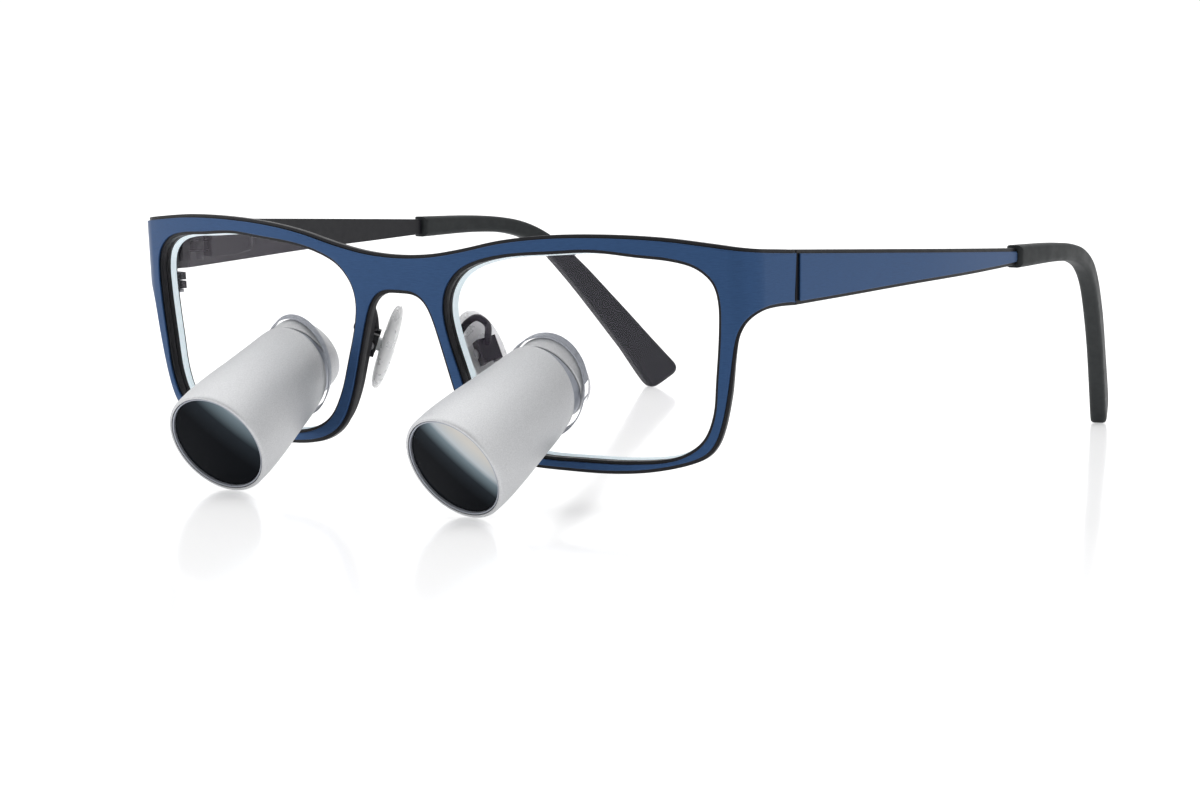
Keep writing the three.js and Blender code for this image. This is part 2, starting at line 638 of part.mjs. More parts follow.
function hingeFront() {
  const { half, slot, near, far } = LEAF;
  const { x, y, z } = HINGE;
  const leaf = onFront(block(CORNER_END + 0.6, SEAM - 2, z - half, z + half, near, far));
  const reach = block(x - 0.5, x + 1.3, y - 4.2, y - 2.2, z - half, z + half);
  const knuckles = [[z - half, z - slot], [z + slot, z + half]].map(([low, high]) => (
    join(block(x - 0.9, x + 1, y - half, y, low, high), knuckle(low, high))
  ));
  return cut(join(leaf, reach, ...knuckles), hingeBore());
}

// Middle knuckle on the rod that slides in the housing; distances run back from the hinge axis.
const SLIDER = { start: 2.1, end: 11.5, half: 0.8, knuckle: 0.88, rod: 0.95, flange: 1.42 };

function hingeSlider() {
  const { start, end, half } = SLIDER;
  const { x, y, z } = HINGE;
  const neck = block(x - half, x + half, y, y + start + half, z - half, z + half);
  const carriage = rod(SLIDER.rod, [x, y + start, z], [x, y + end, z], 12);
  const flange = rod(SLIDER.flange, [x, y + end - 0.8, z], [x, y + end, z], 12);
  return cut(join(knuckle(z - SLIDER.knuckle, z + SLIDER.knuckle), neck, carriage, flange), hingeBore());
}

// Box on the temple's inner side that tapers away behind the hollow for the spring.
const HOUSING = {
  start: 2, straight: 9, slope: 13, end: 17, half: 2.2, tail: 0.9, outer: 1.85, inner: -1.95,
};
const SPRING_ROOM = { start: 3, end: 12.4, half: 1.52 };

function hingeHousing() {
  const { x, y, z } = HINGE;
  const { start, straight, slope, end, half, tail, outer, inner } = HOUSING;
  const plan = points2([[inner, start], [outer, start], [outer + 0.2, end], [1.2, end], [inner, slope]]);
  const body = slab(plan, z - half, z + half).translate(x, y, 0);
  const side = points2([
    [start, -half], [straight, -half], [end, -tail], [end, tail], [straight, half], [start, half],
  ]);
  const taper = slab(side, -6, 6).applyMatrix4(new THREE.Matrix4().makeBasis(
    new THREE.Vector3(0, 1, 0), new THREE.Vector3(0, 0, 1), new THREE.Vector3(1, 0, 0),
  )).translate(x, y, z);
  const { start: front, end: back, half: room } = SPRING_ROOM;
  const mouth = block(x - 1.1, x + 1.1, y + start - 1, y + front + 0.5, z - 1.1, z + 1.1);
  const hollow = block(x - room, x + room, y + front, y + back, z - room, z + room);
  return cut(overlapOf(body, taper), mouth, hollow);
}

// Helix round the slider's rod, between the housing's front wall and the slider's flange.
class Helix extends THREE.Curve {
  constructor(radius, from, to, turns) {
    super();
    Object.assign(this, { radius, from, to, turns });
  }

  getPoint(t, target = new THREE.Vector3()) {
    const angle = 2 * Math.PI * this.turns * t;
    const { x, y, z } = HINGE;
    return target.set(
      x + this.radius * Math.cos(angle),
      y + this.from + (this.to - this.from) * t,
      z + this.radius * Math.sin(angle),
    );
  }
}

function hingeSpring() {
  const wire = 0.13;
  const path = new Helix(1.25, SPRING_ROOM.start + 0.3, SLIDER.end - 1.05, 5);
  const section = new THREE.Shape(points2([[wire, 0], [0, wire], [-wire, 0], [0, -wire]]));
  return new THREE.ExtrudeGeometry(section, { steps: 50, extrudePath: path, bevelEnabled: false });
}

function hingeScrew() {
  const { x, y, z } = HINGE;
  const shank = rod(0.45, [x, y, z - 2.4], [x, y, z + 2.9], 12);
  const head = rod(0.95, [x, y, z + 2.72], [x, y, z + 3.15], 16);
  return join(shank, head);
}

// ---- Temples ------------------------------------------------------------------------------------

const TEMPLE_START = SEAM_POINT.y + SEAM_GAP;
const TEMPLE_TOP = [[TEMPLE_START, 18], [45, 16.5], [70, 15.0], [SLEEVE_START + 0.4, 13.75]];
const TEMPLE_BOTTOM = [[SLEEVE_START + 0.4, 10.75], [75, 10.3], [55, 9.9], [35, 9.3], [TEMPLE_START, 8.85]];
const TAIL = { top: 13.1, bottom: 11.4, end: 112 };

function templeSheet() {
  const plate = [...smooth(TEMPLE_TOP, 8), ...smooth(TEMPLE_BOTTOM, 10)];
  const tail = rectangle(SLEEVE_START - 1, TAIL.bottom, TAIL.end, TAIL.top);
  return onTemple(join(slab(plate, SHEET_BACK, SHEET_FACE), slab(tail, SHEET_BACK, SHEET_FACE)));
}

function templeFacing() {
  const plate = [...smooth(TEMPLE_TOP, 8), ...smooth(TEMPLE_BOTTOM, 10)];
  const outline = offset(plate, -BORDER).map((point) => (
    new THREE.Vector2(Math.max(TEMPLE_START, Math.min(point.x, SLEEVE_START - 0.2)), point.y)
  ));
  return onTemple(slab(outline, -FACING, 0));
}

const SLEEVE_TOP = [
  [SLEEVE_START, 14.3], [97, 14.1], [106, 13.75], [114, 13.1], [121, 11.8], [127, 9.4], [132, 6],
  [137, 1.6], [145.3, -7], [152, -14.3], [157.9, -20.6],
];
const SLEEVE_END = [
  [158.5, -21.7], [158.2, -22.9], [156.4, -24.2], [154, -25.6], [152.8, -25.9], [151.9, -25.3],
];
const SLEEVE_BOTTOM = [
  [146, -17], [139, -8], [132.8, -0.6], [127.9, 4.4], [123.2, 7.5], [117, 9.4], [108, 10.2],
  [SLEEVE_START, 10.2],
];

function templeTip() {
  const outline = [...smooth(SLEEVE_TOP, 16), ...points2(SLEEVE_END), ...smooth(SLEEVE_BOTTOM, 11)];
  const round = 0.8;
  const depth = SLEEVE_THICKNESS - 2 * round;
  const shape = new THREE.Shape(offset(outline, -round));
  const bevel = { bevelThickness: round, bevelSize: round, bevelSegments: 1 };
  const body = new THREE.ExtrudeGeometry(shape, { depth, steps: 1, ...bevel });
  const middle = (SHEET_FACE + SHEET_BACK) / 2;
  body.translate(0, 0, middle - depth / 2);
  const { top, bottom, end } = TAIL;
  const slot = block(
    SLEEVE_START - 3, end + 0.4, bottom - 0.3, top + 0.3, SHEET_BACK - 0.25, SHEET_FACE + 0.25,
  );
  const mouth = block(SLEEVE_START - 3, SLEEVE_START + 0.75, 8, 16, SHEET_BACK - 0.25, 0.35);
  return onTemple(cut(body, slot, mouth));
}

// ---- Assembly -----------------------------------------------------------------------------------

const loupes = new THREE.Group();

function addPiece(parent, name, geometry, look) {
  const piece = new THREE.Mesh(geometry, look);
  piece.name = name;
  parent.add(piece);
}

function addPair(name, geometry, look) {
  addPiece(loupes, `${name}_left`, geometry, look);
  addPiece(loupes, `${name}_right`, mirrored(geometry), look);
}

function addTelescope(name, side) {
  const place = telescopePlace(side);
  const shell = cantedShell(revolve([...SHELL_OUTSIDE, ...SHELL_INSIDE]));
  addPiece(place, `barrel_shell_${name}`, shell, SATIN_ALUMINIUM);
  addPiece(place, `objective_bezel_${name}`, revolve(BEZEL), POLISHED_ALUMINIUM);
  addPiece(place, `objective_crown_${name}`, revolve(CROWN, INNER_SEGMENTS), COATED_GLASS);
  addPiece(place, `objective_flint_${name}`, revolve(FLINT, INNER_SEGMENTS), COATED_GLASS);
  addPiece(place, `baffle_tube_${name}`, revolve(BAFFLE, INNER_SEGMENTS), BLACK_ANODISED);
  addPiece(place, `adjusting_ring_${name}`, cantedRing(revolve(POLISHED_RING)), POLISHED_ALUMINIUM);
  addPiece(place, `eyepiece_ring_${name}`, revolve(EYEPIECE_RING), SATIN_ALUMINIUM);
  addPiece(place, `eyepiece_lens_${name}`, revolve(EYEPIECE, INNER_SEGMENTS), COATED_GLASS);
  loupes.add(place);
}

addPiece(loupes, 'front_sheet', frontSheet(), BLACK_METAL);
addPiece(loupes, 'front_facing', frontFacing(), BLUE_METAL);
addPair('eyewire', eyewire(), BLACK_METAL);
addPair('eyewire_screw', eyewireScrew(), STEEL);
addPair('carrier_lens', carrierLens(), CLEAR_LENS);
addPair('bond_collar', bondCollar(), CLEAR_RESIN);
addPair('pad_arm', padArm(), BLACK_METAL);
addPair('pad_screw', padScrew(), STEEL);
addPair('pad_core', padCore(), WHITE_CORE);
addPair('nose_pad', nosePad(), CLEAR_SILICONE);
addPair('hinge_front', hingeFront(), BLACK_METAL);
addPair('hinge_slider', hingeSlider(), BLACK_METAL);
addPair('hinge_housing', hingeHousing(), BLACK_METAL);
addPair('hinge_spring', hingeSpring(), STEEL);
addPair('hinge_screw', hingeScrew(), STEEL);
addPair('temple_sheet', templeSheet(), BLACK_METAL);
addPair('temple_facing', templeFacing(), BLUE_METAL);
addPair('temple_tip', templeTip(), BLACK_PLASTIC);
addTelescope('left', 1);
addTelescope('right', -1);

// The origin is the middle of the footprint, on the surface that the loupes stand on.
const bounds = new THREE.Box3().setFromObject(loupes, true);
const middle = bounds.getCenter(new THREE.Vector3());
loupes.position.set(0, -middle.y, -bounds.min.z);

const group = new THREE.Group();
group.add(loupes);

export default group;
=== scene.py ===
import math

import bmesh
import bpy
import numpy as np
from mathutils import Matrix, Vector
from mathutils.geometry import tessellate_polygon

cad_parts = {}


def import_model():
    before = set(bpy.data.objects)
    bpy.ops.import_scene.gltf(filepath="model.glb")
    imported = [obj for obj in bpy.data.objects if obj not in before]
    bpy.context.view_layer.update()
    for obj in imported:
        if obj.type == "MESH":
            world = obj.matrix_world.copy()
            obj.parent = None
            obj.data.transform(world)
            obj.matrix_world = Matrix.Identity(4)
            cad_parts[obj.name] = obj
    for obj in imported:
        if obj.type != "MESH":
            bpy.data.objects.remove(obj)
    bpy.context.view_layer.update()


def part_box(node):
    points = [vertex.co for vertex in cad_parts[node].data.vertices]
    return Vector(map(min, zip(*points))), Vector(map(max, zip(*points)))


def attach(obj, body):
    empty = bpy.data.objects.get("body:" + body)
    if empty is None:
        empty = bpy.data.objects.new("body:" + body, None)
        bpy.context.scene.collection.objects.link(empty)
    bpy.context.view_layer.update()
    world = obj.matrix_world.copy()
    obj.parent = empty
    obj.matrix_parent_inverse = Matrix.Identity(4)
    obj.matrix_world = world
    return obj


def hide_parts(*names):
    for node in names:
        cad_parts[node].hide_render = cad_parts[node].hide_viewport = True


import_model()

# Dental loupes. Shapes are drawn in millimetres in the drawing frame of the CAD part (+X to the
# wearer's left, -Y ahead, +Z up) and moved to the row frame, in metres, by place(). The dimensions
# repeat those of the CAD part. Flat outlines are (distance along the sheet, height) points.

MM = 0.001
SIDES = (("left", 1), ("right", -1))

# ---- Dimensions of the CAD part --------------------

SHEET = 1.05
FACING = 0.3  # thickness of the coloured facing
GAP = 0.12  # clearance between neighbouring pieces
BORDER = 0.6  # how far the facing stays inside the sheet's edge

BRIDGE_FLAT = 5
WRAP_RADIUS = 250
CORNER_START = 64
CORNER_RADIUS = 5.5
END_PIECE_ANGLE = math.radians(84)
SEAM = 78.5
PANTOSCOPIC = 0.0857  # backward lean of the rims for each millimetre of height
LEAN_FADE = 2  # the lean starts to fade this far before the corner

RIM_WIDTH = 1.0
RIM_DEPTH = 2.8
RIM_LIP = 0.8
RIM_GROOVE = 1.64
GROOVE_DEPTH = 0.4
RIM_SPLIT_HEIGHT = 7.4
LENS_THICKNESS = 1.4

SLEEVE_START = 90.6
SLEEVE_THICKNESS = 3.2

HINGE_INSET = 3.4
HINGE_HEIGHT = 13.1
KNUCKLE_RADIUS = 1.35
SEAM_GAP = 0.25

OBJECTIVE_CENTRE = np.array((26.1, -18.6, -17.3))
CONVERGENCE = math.radians(3.9)
DECLINATION = math.radians(27.3)
TELESCOPE_LENGTH = 30.1

PAD_CENTRE = np.array((10.7, 9.4, -1.9))
PAD_FACE_ANGLE = math.radians(36)
PAD_FACE_DROP = math.radians(18)
PAD_SPLAY = math.radians(26)
PAD_LENGTH = 16
PAD_WIDTH = 8.4
PAD_THICKNESS = 2.6

SHEET_FACE = -FACING - GAP
SHEET_BACK = SHEET_FACE - SHEET
RIM_FACE = SHEET_BACK - GAP
RIM_BACK = RIM_FACE - RIM_DEPTH
LIP_EDGE = 0.05 - BORDER
LENS_MIDDLE = RIM_FACE - RIM_LIP - RIM_GROOVE / 2

# ---- Sheet paths --------------------

CORNER_ANGLE = (CORNER_START - BRIDGE_FLAT) / WRAP_RADIUS
CORNER_END = CORNER_START + CORNER_RADIUS * (END_PIECE_ANGLE - CORNER_ANGLE)


def front_path(length):
    """x, y and angle of the front's outer face, seen from above, at an arc length from its middle."""
    length = np.asarray(length, float)
    turn = np.clip(length - BRIDGE_FLAT, 0, None) / WRAP_RADIUS
    face_x = np.minimum(length, BRIDGE_FLAT) + WRAP_RADIUS * np.sin(turn)
    face_y = WRAP_RADIUS * (1 - np.cos(turn))
    bend = np.minimum(CORNER_ANGLE + (length - CORNER_START) / CORNER_RADIUS, END_PIECE_ANGLE)
    straight = np.clip(length - CORNER_END, 0, None)
    centre_x = BRIDGE_FLAT + (WRAP_RADIUS - CORNER_RADIUS) * math.sin(CORNER_ANGLE)
    centre_y = WRAP_RADIUS - (WRAP_RADIUS - CORNER_RADIUS) * math.cos(CORNER_ANGLE)
    bend_x = centre_x + CORNER_RADIUS * np.sin(bend) + straight * np.cos(bend)
    bend_y = centre_y - CORNER_RADIUS * np.cos(bend) + straight * np.sin(bend)
    on_face = length <= CORNER_START
    return np.where(on_face, face_x, bend_x), np.where(on_face, face_y, bend_y), np.where(on_face, turn, bend)


def smooth(part):
    """A gentle step from 0 to 1."""
    part = np.clip(part, 0, 1)
    return part * part * (3 - 2 * part)


def on_front(points):
    """Flat [length, height, depth] points moved onto the front's curved sheet."""
    length, height, depth = np.asarray(points, float).T
    side = np.where(length < 0, -1, 1)
    x, y, angle = front_path(abs(length))
    part = (abs(length) - CORNER_START + LEAN_FADE) / (SEAM - CORNER_START + LEAN_FADE)
    lean = PANTOSCOPIC * (1 - smooth(part))
    across = side * (x + depth * np.sin(angle))
    return np.stack([across, y - depth * np.cos(angle) - lean * height, height], 1)


def spline(points, samples, closed=False):
    """Centripetal Catmull-Rom curve through the points."""
    knots = np.array(points, float)
    count = len(knots)
    spans = count if closed else count - 1
    curve = []
    for t in np.linspace(0, spans, samples, endpoint=not closed):
        i = min(int(t), spans - 1)
        b, c = knots[i % count], knots[(i + 1) % count]
        a = knots[(i - 1) % count] if closed or i > 0 else 2 * knots[0] - knots[1]
        d = knots[(i + 2) % count] if closed or i + 2 < count else 2 * knots[-1] - knots[-2]
        before, within, after = (math.sqrt(np.linalg.norm(q - p)) for p, q in ((a, b), (b, c), (c, d)))
        leave = ((b - a) / before - (c - a) / (before + within) + (c - b) / within) * within
        arrive = ((c - b) / within - (d - b) / (within + after) + (d - c) / after) * within
        w = t - i
        curve.append(
            b * (2 * w**3 - 3 * w**2 + 1) + leave * (w**3 - 2 * w**2 + w)
            + c * (3 * w**2 - 2 * w**3) + arrive * (w**3 - w**2)
        )
    return np.array(curve)


SEAM_X, SEAM_Y = (float(value) for value in front_path(SEAM)[:2])
TEMPLE_CURVE = spline([
    (SEAM_X - 0.1, SEAM_Y - 1), (SEAM_X + 1.2, 42), (70.6, 66), (70.2, 91), (68.7, 112),
    (65.8, 127), (62, 138), (57.8, 148), (53.4, 158), (50.8, 163),
], 600)
TEMPLE_SLOPE = np.gradient(TEMPLE_CURVE[:, 0], TEMPLE_CURVE[:, 1])


def on_temple(points):
    """Flat [distance back, height, depth] points moved onto the left temple's curved sheet."""
    back, height, depth = np.asarray(points, float).T
    x = np.interp(back, TEMPLE_CURVE[:, 1], TEMPLE_CURVE[:, 0])
    slope = np.interp(back, TEMPLE_CURVE[:, 1], TEMPLE_SLOPE)
    size = np.hypot(1, slope)
    return np.stack([x + depth / size, back - depth * slope / size, height], 1)


HINGE = np.array((SEAM_X - HINGE_INSET, SEAM_Y + 0.2, HINGE_HEIGHT))
HINGE_SCREW_REACH = 2.4  # how far the screw goes below the hinge's middle

# The hinge screw tells where the drawing's origin sits in the row frame of model.glb.
SCREW_LOW, SCREW_HIGH = (np.array(corner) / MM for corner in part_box("hinge_screw_left"))
SHIFT = np.array((
    0, (SCREW_LOW[1] + SCREW_HIGH[1]) / 2 - HINGE[1], SCREW_LOW[2] - (HINGE_HEIGHT - HINGE_SCREW_REACH),
))


def place(points):
    return (np.asarray(points, float) + SHIFT) * MM


# ---- Outlines --------------------


def resample(points, spacing, closed=False):
    points = np.asarray(points, float)
    loop = np.vstack([points, points[:1]]) if closed else points
    run = np.concatenate([[0], np.cumsum(np.linalg.norm(np.diff(loop, axis=0), axis=1))])
    count = max(3, int(round(run[-1] / spacing)))
    at = np.linspace(0, run[-1], count + 1)
    even = np.stack([np.interp(at, run, loop[:, k]) for k in range(loop.shape[1])], 1)
    return even[:-1] if closed else even


def relax(points, spacing, width, closed=False):
    """Evens out small unevenness narrower than about the given width."""
    even = resample(points, spacing, closed)
    reach = int(3 * width / spacing)
    weight = np.exp(-0.5 * (np.arange(-reach, reach + 1) * spacing / width) ** 2)
    weight /= weight.sum()
    if closed:
        padded = np.vstack([even[-reach:], even, even[:reach]])
    else:
        start = 2 * even[0] - even[1:reach + 1][::-1]
        end = 2 * even[-1] - even[-reach - 1:-1][::-1]
        padded = np.vstack([start, even, end])
    return np.stack([np.convolve(padded[:, k], weight, "valid") for k in range(even.shape[1])], 1)


def area(outline):
    x, y = np.asarray(outline).T
    return 0.5 * float(np.sum(x * np.roll(y, -1) - y * np.roll(x, -1)))


def offset(outline, distance):
    """Offsets a closed outline; a positive distance grows it."""
    outline = np.asarray(outline, float)
    sign = 1 if area(outline) > 0 else -1
    before = outline - np.roll(outline, 1, 0)
    before /= np.linalg.norm(before, axis=1)[:, None]
    after = np.roll(before, -1, 0)
    normal = np.stack([before[:, 1] + after[:, 1], -before[:, 0] - after[:, 0]], 1)
    normal /= np.linalg.norm(normal, axis=1)[:, None]
    widen = 1 / np.maximum(0.5, normal[:, 0] * before[:, 1] - normal[:, 1] * before[:, 0])
    return outline + sign * distance * widen[:, None] * normal


def flip(outline):
    return (np.asarray(outline) * (-1, 1))[::-1]


TOP_EDGE = (
    (0, 15.5), (7, 15.9), (14, 17.1), (22, 18.85), (31, 20), (42, 20.5), (53, 20.3), (62, 19.5),
    (69, 18.75), (SEAM, 18),
)
LOWER_EDGE = (
    (SEAM, 8.85), (74, 8.9), (69.9, 8.4), (67.4, 7), (65.9, 4.7), (65.1, 1.5), (64.4, -2.5),
    (63.5, -7), (62.4, -11), (61.2, -13.8), (59.4, -15.8), (56.7, -17.1), (50, -18.8), (43, -19.6),
    (33, -19.7), (24, -19.3), (19, -18.2), (15.6, -16.3), (13.4, -13.8), (11.4, -9.5), (9.6, -4),
    (7.9, 1.5), (6.6, 5.2), (5.2, 7.6), (3.2, 8.7), (0, 8.8),
)
APERTURE_KNOTS = (
    (62.5, 3), (62.8, 7), (62.8, 10), (61.9, 13.3), (58.9, 15.8), (54.7, 16.9), (48, 17.4),
    (40, 17.95), (32, 17.4), (24, 16.7), (18, 15.5), (13.2, 13.4), (10.3, 10), (9.5, 6.5),
    (10.1, 2.5), (12.2, -4), (14.2, -9.5), (17, -14), (20.5, -16.3), (27, -17.8), (36, -18),
    (46, -17.8), (54, -16.6), (58.8, -13.6), (61, -9), (61.8, -3),
)
APERTURE = relax(spline(APERTURE_KNOTS, 400, closed=True), 0.5, 0.9, closed=True)


def whole_edge(half):
    """An edge of the front from its right end to its left end."""
    curve = spline([*[(-x, y) for x, y in half[::-1]], *half[1:]], 600)
    return relax(curve, 0.5, 1.0)


FRONT_OUTLINE = np.vstack([whole_edge(TOP_EDGE)[::-1], whole_edge(LOWER_EDGE[::-1])])


# ---- Mesh building --------------------


class Shape:
    """Vertices in the drawing frame and faces, gathered from several closed parts."""

    def __init__(self):
        self.points = []
        self.faces = []
        self.slots = []

    def add(self, points, faces, slot=0):
        base = len(self.points)
        self.points.extend(np.asarray(points, float).tolist())
        self.faces.extend([[base + i for i in face] for face in faces])
        self.slots.extend([slot] * len(faces))
        return self


def finish_mesh(name, shape, side=1, sharp=40, to_row=place):
    """Blender mesh of a shape, mirrored for the right side."""
    points = np.array(shape.points) * (side, 1, 1)
    faces = shape.faces if side > 0 else [face[::-1] for face in shape.faces]
    mesh = bpy.data.meshes.new(name)
    mesh.from_pydata(to_row(points).tolist(), [], faces)
    mesh.polygons.foreach_set("material_index", shape.slots)
    bm = bmesh.new()
    bm.from_mesh(mesh)
    bmesh.ops.remove_doubles(bm, verts=bm.verts, dist=1e-7)
    bmesh.ops.recalc_face_normals(bm, faces=bm.faces)
    bm.to_mesh(mesh)
    bm.free()
    mesh.shade_smooth()
    mesh.set_sharp_from_angle(angle=math.radians(sharp))
    return mesh


def piece(node, shape, body, slot, materials, side=1, sharp=40, bevel=0.0):
    """A detailed piece that replaces a CAD node and rides on its body."""
    mesh = finish_mesh(f"{node}_detail", shape, side, sharp)
    for finish in materials:
        mesh.materials.append(finish)
    thing = bpy.data.objects.new(mesh.name, mesh)
    bpy.context.scene.collection.objects.link(thing)
    if bevel:
        soften = thing.modifiers.new("edges", "BEVEL")
        soften.width = bevel * MM
        soften.segments = 2
        soften.limit_method = "ANGLE"
        soften.angle_limit = math.radians(40)
        soften.use_clamp_overlap = True
    even = thing.modifiers.new("normals", "WEIGHTED_NORMAL")
    even.keep_sharp = True
    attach(thing, body)
    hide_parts(node)


def quarter(radius):
    """(inset, drop) points of a rounded edge, from the face to the side."""
    turns = np.linspace(0, math.pi / 2, 4)
    return [(radius * (1 - math.sin(a)), radius * (1 - math.cos(a))) for a in turns]


def plate(outline, holes, near, far, round_edge, bend, stations, near_edge=None):
    """A plate with rounded edges between two depths, divided at the stations and bent onto its path.

    near_edge gives the (inset, drop) points of the near edge where it isn't rounded like the far one.
    """
    edge = quarter(round_edge)
    under = near_edge or edge
    levels = [(inset, far - drop) for inset, drop in edge]
    levels += [(inset, near + drop) for inset, drop in under[::-1]]
    bm = bmesh.new()
    caps = ([], [])
    for ring, sign in [(outline, -1)] + [(hole, 1) for hole in holes]:
        rows = []
        for inset, depth in levels:
            flat = offset(ring, sign * inset) if inset > 1e-6 else np.asarray(ring, float)
            rows.append([bm.verts.new((x, y, depth)) for x, y in flat])
        count = len(rows[0])
        for upper, lower in zip(rows, rows[1:]):
            for i in range(count):
                j = (i + 1) % count
                bm.faces.new((upper[i], upper[j], lower[j], lower[i]))
        caps[0].append(rows[0])
        caps[1].append(rows[-1])
    for cap in caps:
        corners = [vert for ring in cap for vert in ring]
        for triangle in tessellate_polygon([[vert.co for vert in ring] for ring in cap]):
            bm.faces.new([corners[i] for i in triangle])
    for station in stations:
        geometry = bm.verts[:] + bm.edges[:] + bm.faces[:]
        bmesh.ops.bisect_plane(
            bm, geom=geometry, dist=1e-4, plane_co=(station, 0, 0), plane_no=(1, 0, 0)
        )
    bmesh.ops.recalc_face_normals(bm, faces=bm.faces)
    bm.verts.index_update()
    points = bend(np.array([vert.co for vert in bm.verts]))
    faces = [[vert.index for vert in face.verts] for face in bm.faces]
    bm.free()
    return points, faces


def between(low, high, step):
    return np.linspace(low, high, max(2, int(round((high - low) / step)) + 1))


def stations_over(low, high):
    """Division lines along the front, closer together round the corner."""
    face, corner = between(0, CORNER_START, 2.6), between(CORNER_START, CORNER_END, 0.5)
    half = np.concatenate([face, corner[1:], [SEAM - 2]])
    both = np.unique(np.concatenate([-half, half]))
    return [station for station in both if low + 0.05 < station < high - 0.05]


def carried(outline, section, bend):
    """A section of [offset, depth] points carried round a closed outline."""
    count, rows = len(outline), len(section)
    rings = [np.column_stack([offset(outline, grow), np.full(count, depth)]) for grow, depth in section]
    points = bend(np.vstack(rings))
    faces = []
    for k in range(rows):
        m = (k + 1) % rows
        for i in range(count):
            j = (i + 1) % count
            faces.append((k * count + i, k * count + j, m * count + j, m * count + i))
    return points, faces


def fillet(profile, radius, steps=3):
    """Rounds the corners of a closed profile; radius is one number or one for each corner."""
    points = np.array(profile, float)
    count = len(points)
    radii = [radius] * count if np.isscalar(radius) else list(radius)
    made = []
    for i, corner in enumerate(points):
        back, ahead = points[i - 1] - corner, points[(i + 1) % count] - corner
        reach = min(radii[i], 0.45 * np.linalg.norm(back), 0.45 * np.linalg.norm(ahead))
        start = corner + back / np.linalg.norm(back) * reach
        end = corner + ahead / np.linalg.norm(ahead) * reach
        for t in np.linspace(0, 1, steps + 1):
            made.append((1 - t) ** 2 * start + 2 * t * (1 - t) * corner + t * t * end)
    return np.array(made)


def revolved(profile, frame_of, segments=96):
    """A [distance along, radius] profile turned about an axis.

    frame_of maps the local points, whose Y runs along the axis, into the drawing.
    """
    profile = np.asarray(profile, float)
    turns = np.linspace(0, 2 * math.pi, segments, endpoint=False)
    points, index = [], []
    for along, radius in profile:
        if radius < 1e-6:
            index.append([len(points)] * segments)
            points.append((0, along, 0))
        else:
            index.append(list(range(len(points), len(points) + segments)))
            points.extend((radius * math.cos(a), along, radius * math.sin(a)) for a in turns)
    open_profile = profile[0][1] < 1e-6 and profile[-1][1] < 1e-6
    pairs = list(zip(index, index[1:])) + ([] if open_profile else [(index[-1], index[0])])
    faces = []
    for one, two in pairs:
        for i in range(segments):
            j = (i + 1) % segments
            face = []
            for corner in (one[i], one[j], two[j], two[i]):
                if corner not in face:
                    face.append(corner)
            if len(face) > 2:
                faces.append(face)
    return frame_of(np.array(points)), faces


def axis_frame(origin, axis):
    """Maps local points, whose Y runs along the axis, to the drawing."""
    turn = Vector((0, 1, 0)).rotation_difference(Vector(axis).normalized()).to_matrix()
    matrix = np.array(turn)
    return lambda points: np.asarray(points, float) @ matrix.T + np.asarray(origin, float)


def rod(radius, start, end, segments=32, chamfer=0.0):
    """A round bar between two points with broken edges."""
    start, end = np.asarray(start, float), np.asarray(end, float)
    length = float(np.linalg.norm(end - start))
    if chamfer:
        profile = [(0, 0), (0, radius - chamfer), (chamfer, radius), (length - chamfer, radius),
                   (length, radius - chamfer), (length, 0)]
    else:
        profile = [(0, 0), (0, radius), (length, radius), (length, 0)]
    return revolved(profile, axis_frame(start, end - start), segments)


def swept(path, radius, segments=20):
    """A round wire along a path, with domed ends."""
    path = np.asarray(path, float)
    tangent = np.gradient(path, axis=0)
    tangent /= np.linalg.norm(tangent, axis=1)[:, None]
    normal = np.cross(tangent[0], (0.3, 0.2, 1))
    rings = []
    for point, ahead in zip(path, tangent):
        normal = normal - ahead * normal.dot(ahead)
        normal /= np.linalg.norm(normal)
        rings.append((point, normal, np.cross(ahead, normal), 1))

    def dome(ring, ahead, angles):
        point, normal, side, _ = ring
        out = ahead * radius * 0.6
        return [(point + out * math.sin(a), normal, side, math.cos(a)) for a in angles]

    angles = np.radians(np.linspace(80, 0, 4)[:-1])
    rings = [
        *dome(rings[0], -tangent[0], angles), *rings, *dome(rings[-1], tangent[-1], angles[::-1]),
    ]
    turns = np.linspace(0, 2 * math.pi, segments, endpoint=False)
    points = [
        centre + radius * scale * (normal * math.cos(a) + side * math.sin(a))
        for centre, normal, side, scale in rings for a in turns
    ]
    faces = [list(range(segments))[::-1], [len(points) - segments + i for i in range(segments)]]
    for k in range(len(rings) - 1):
        low, high = k * segments, (k + 1) * segments
        for i in range(segments):
            j = (i + 1) % segments
            faces.append((low + i, low + j, high + j, high + i))
    return np.array(points), faces


def block(x0, x1, y0, y1, z0, z1, bend=None, slices=1):
    """A box, optionally divided along its first direction and bent."""
    xs = np.linspace(x0, x1, slices + 1)
    points = [(x, y, z) for x in xs for y, z in ((y0, z0), (y1, z0), (y1, z1), (y0, z1))]
    faces = [(0, 1, 2, 3), tuple(4 * slices + i for i in (3, 2, 1, 0))]
    for k in range(slices):
        for i in range(4):
            j = (i + 1) % 4
            faces.append((4 * k + i, 4 * k + j, 4 * k + 4 + j, 4 * k + 4 + i))
    points = np.array(points, float)
    return (bend(points) if bend else points), faces


def prism(outline, low, high, to_frame=None):
    """A flat outline given thickness along its third direction."""
    outline = np.asarray(outline, float)
    count = len(outline)
    points = np.vstack([np.column_stack([outline, np.full(count, z)]) for z in (low, high)])
    faces = [tuple(range(count))[::-1], tuple(range(count, 2 * count))]
    faces += [(i, (i + 1) % count, count + (i + 1) % count, count + i) for i in range(count)]
    return (to_frame(points) if to_frame else points), faces


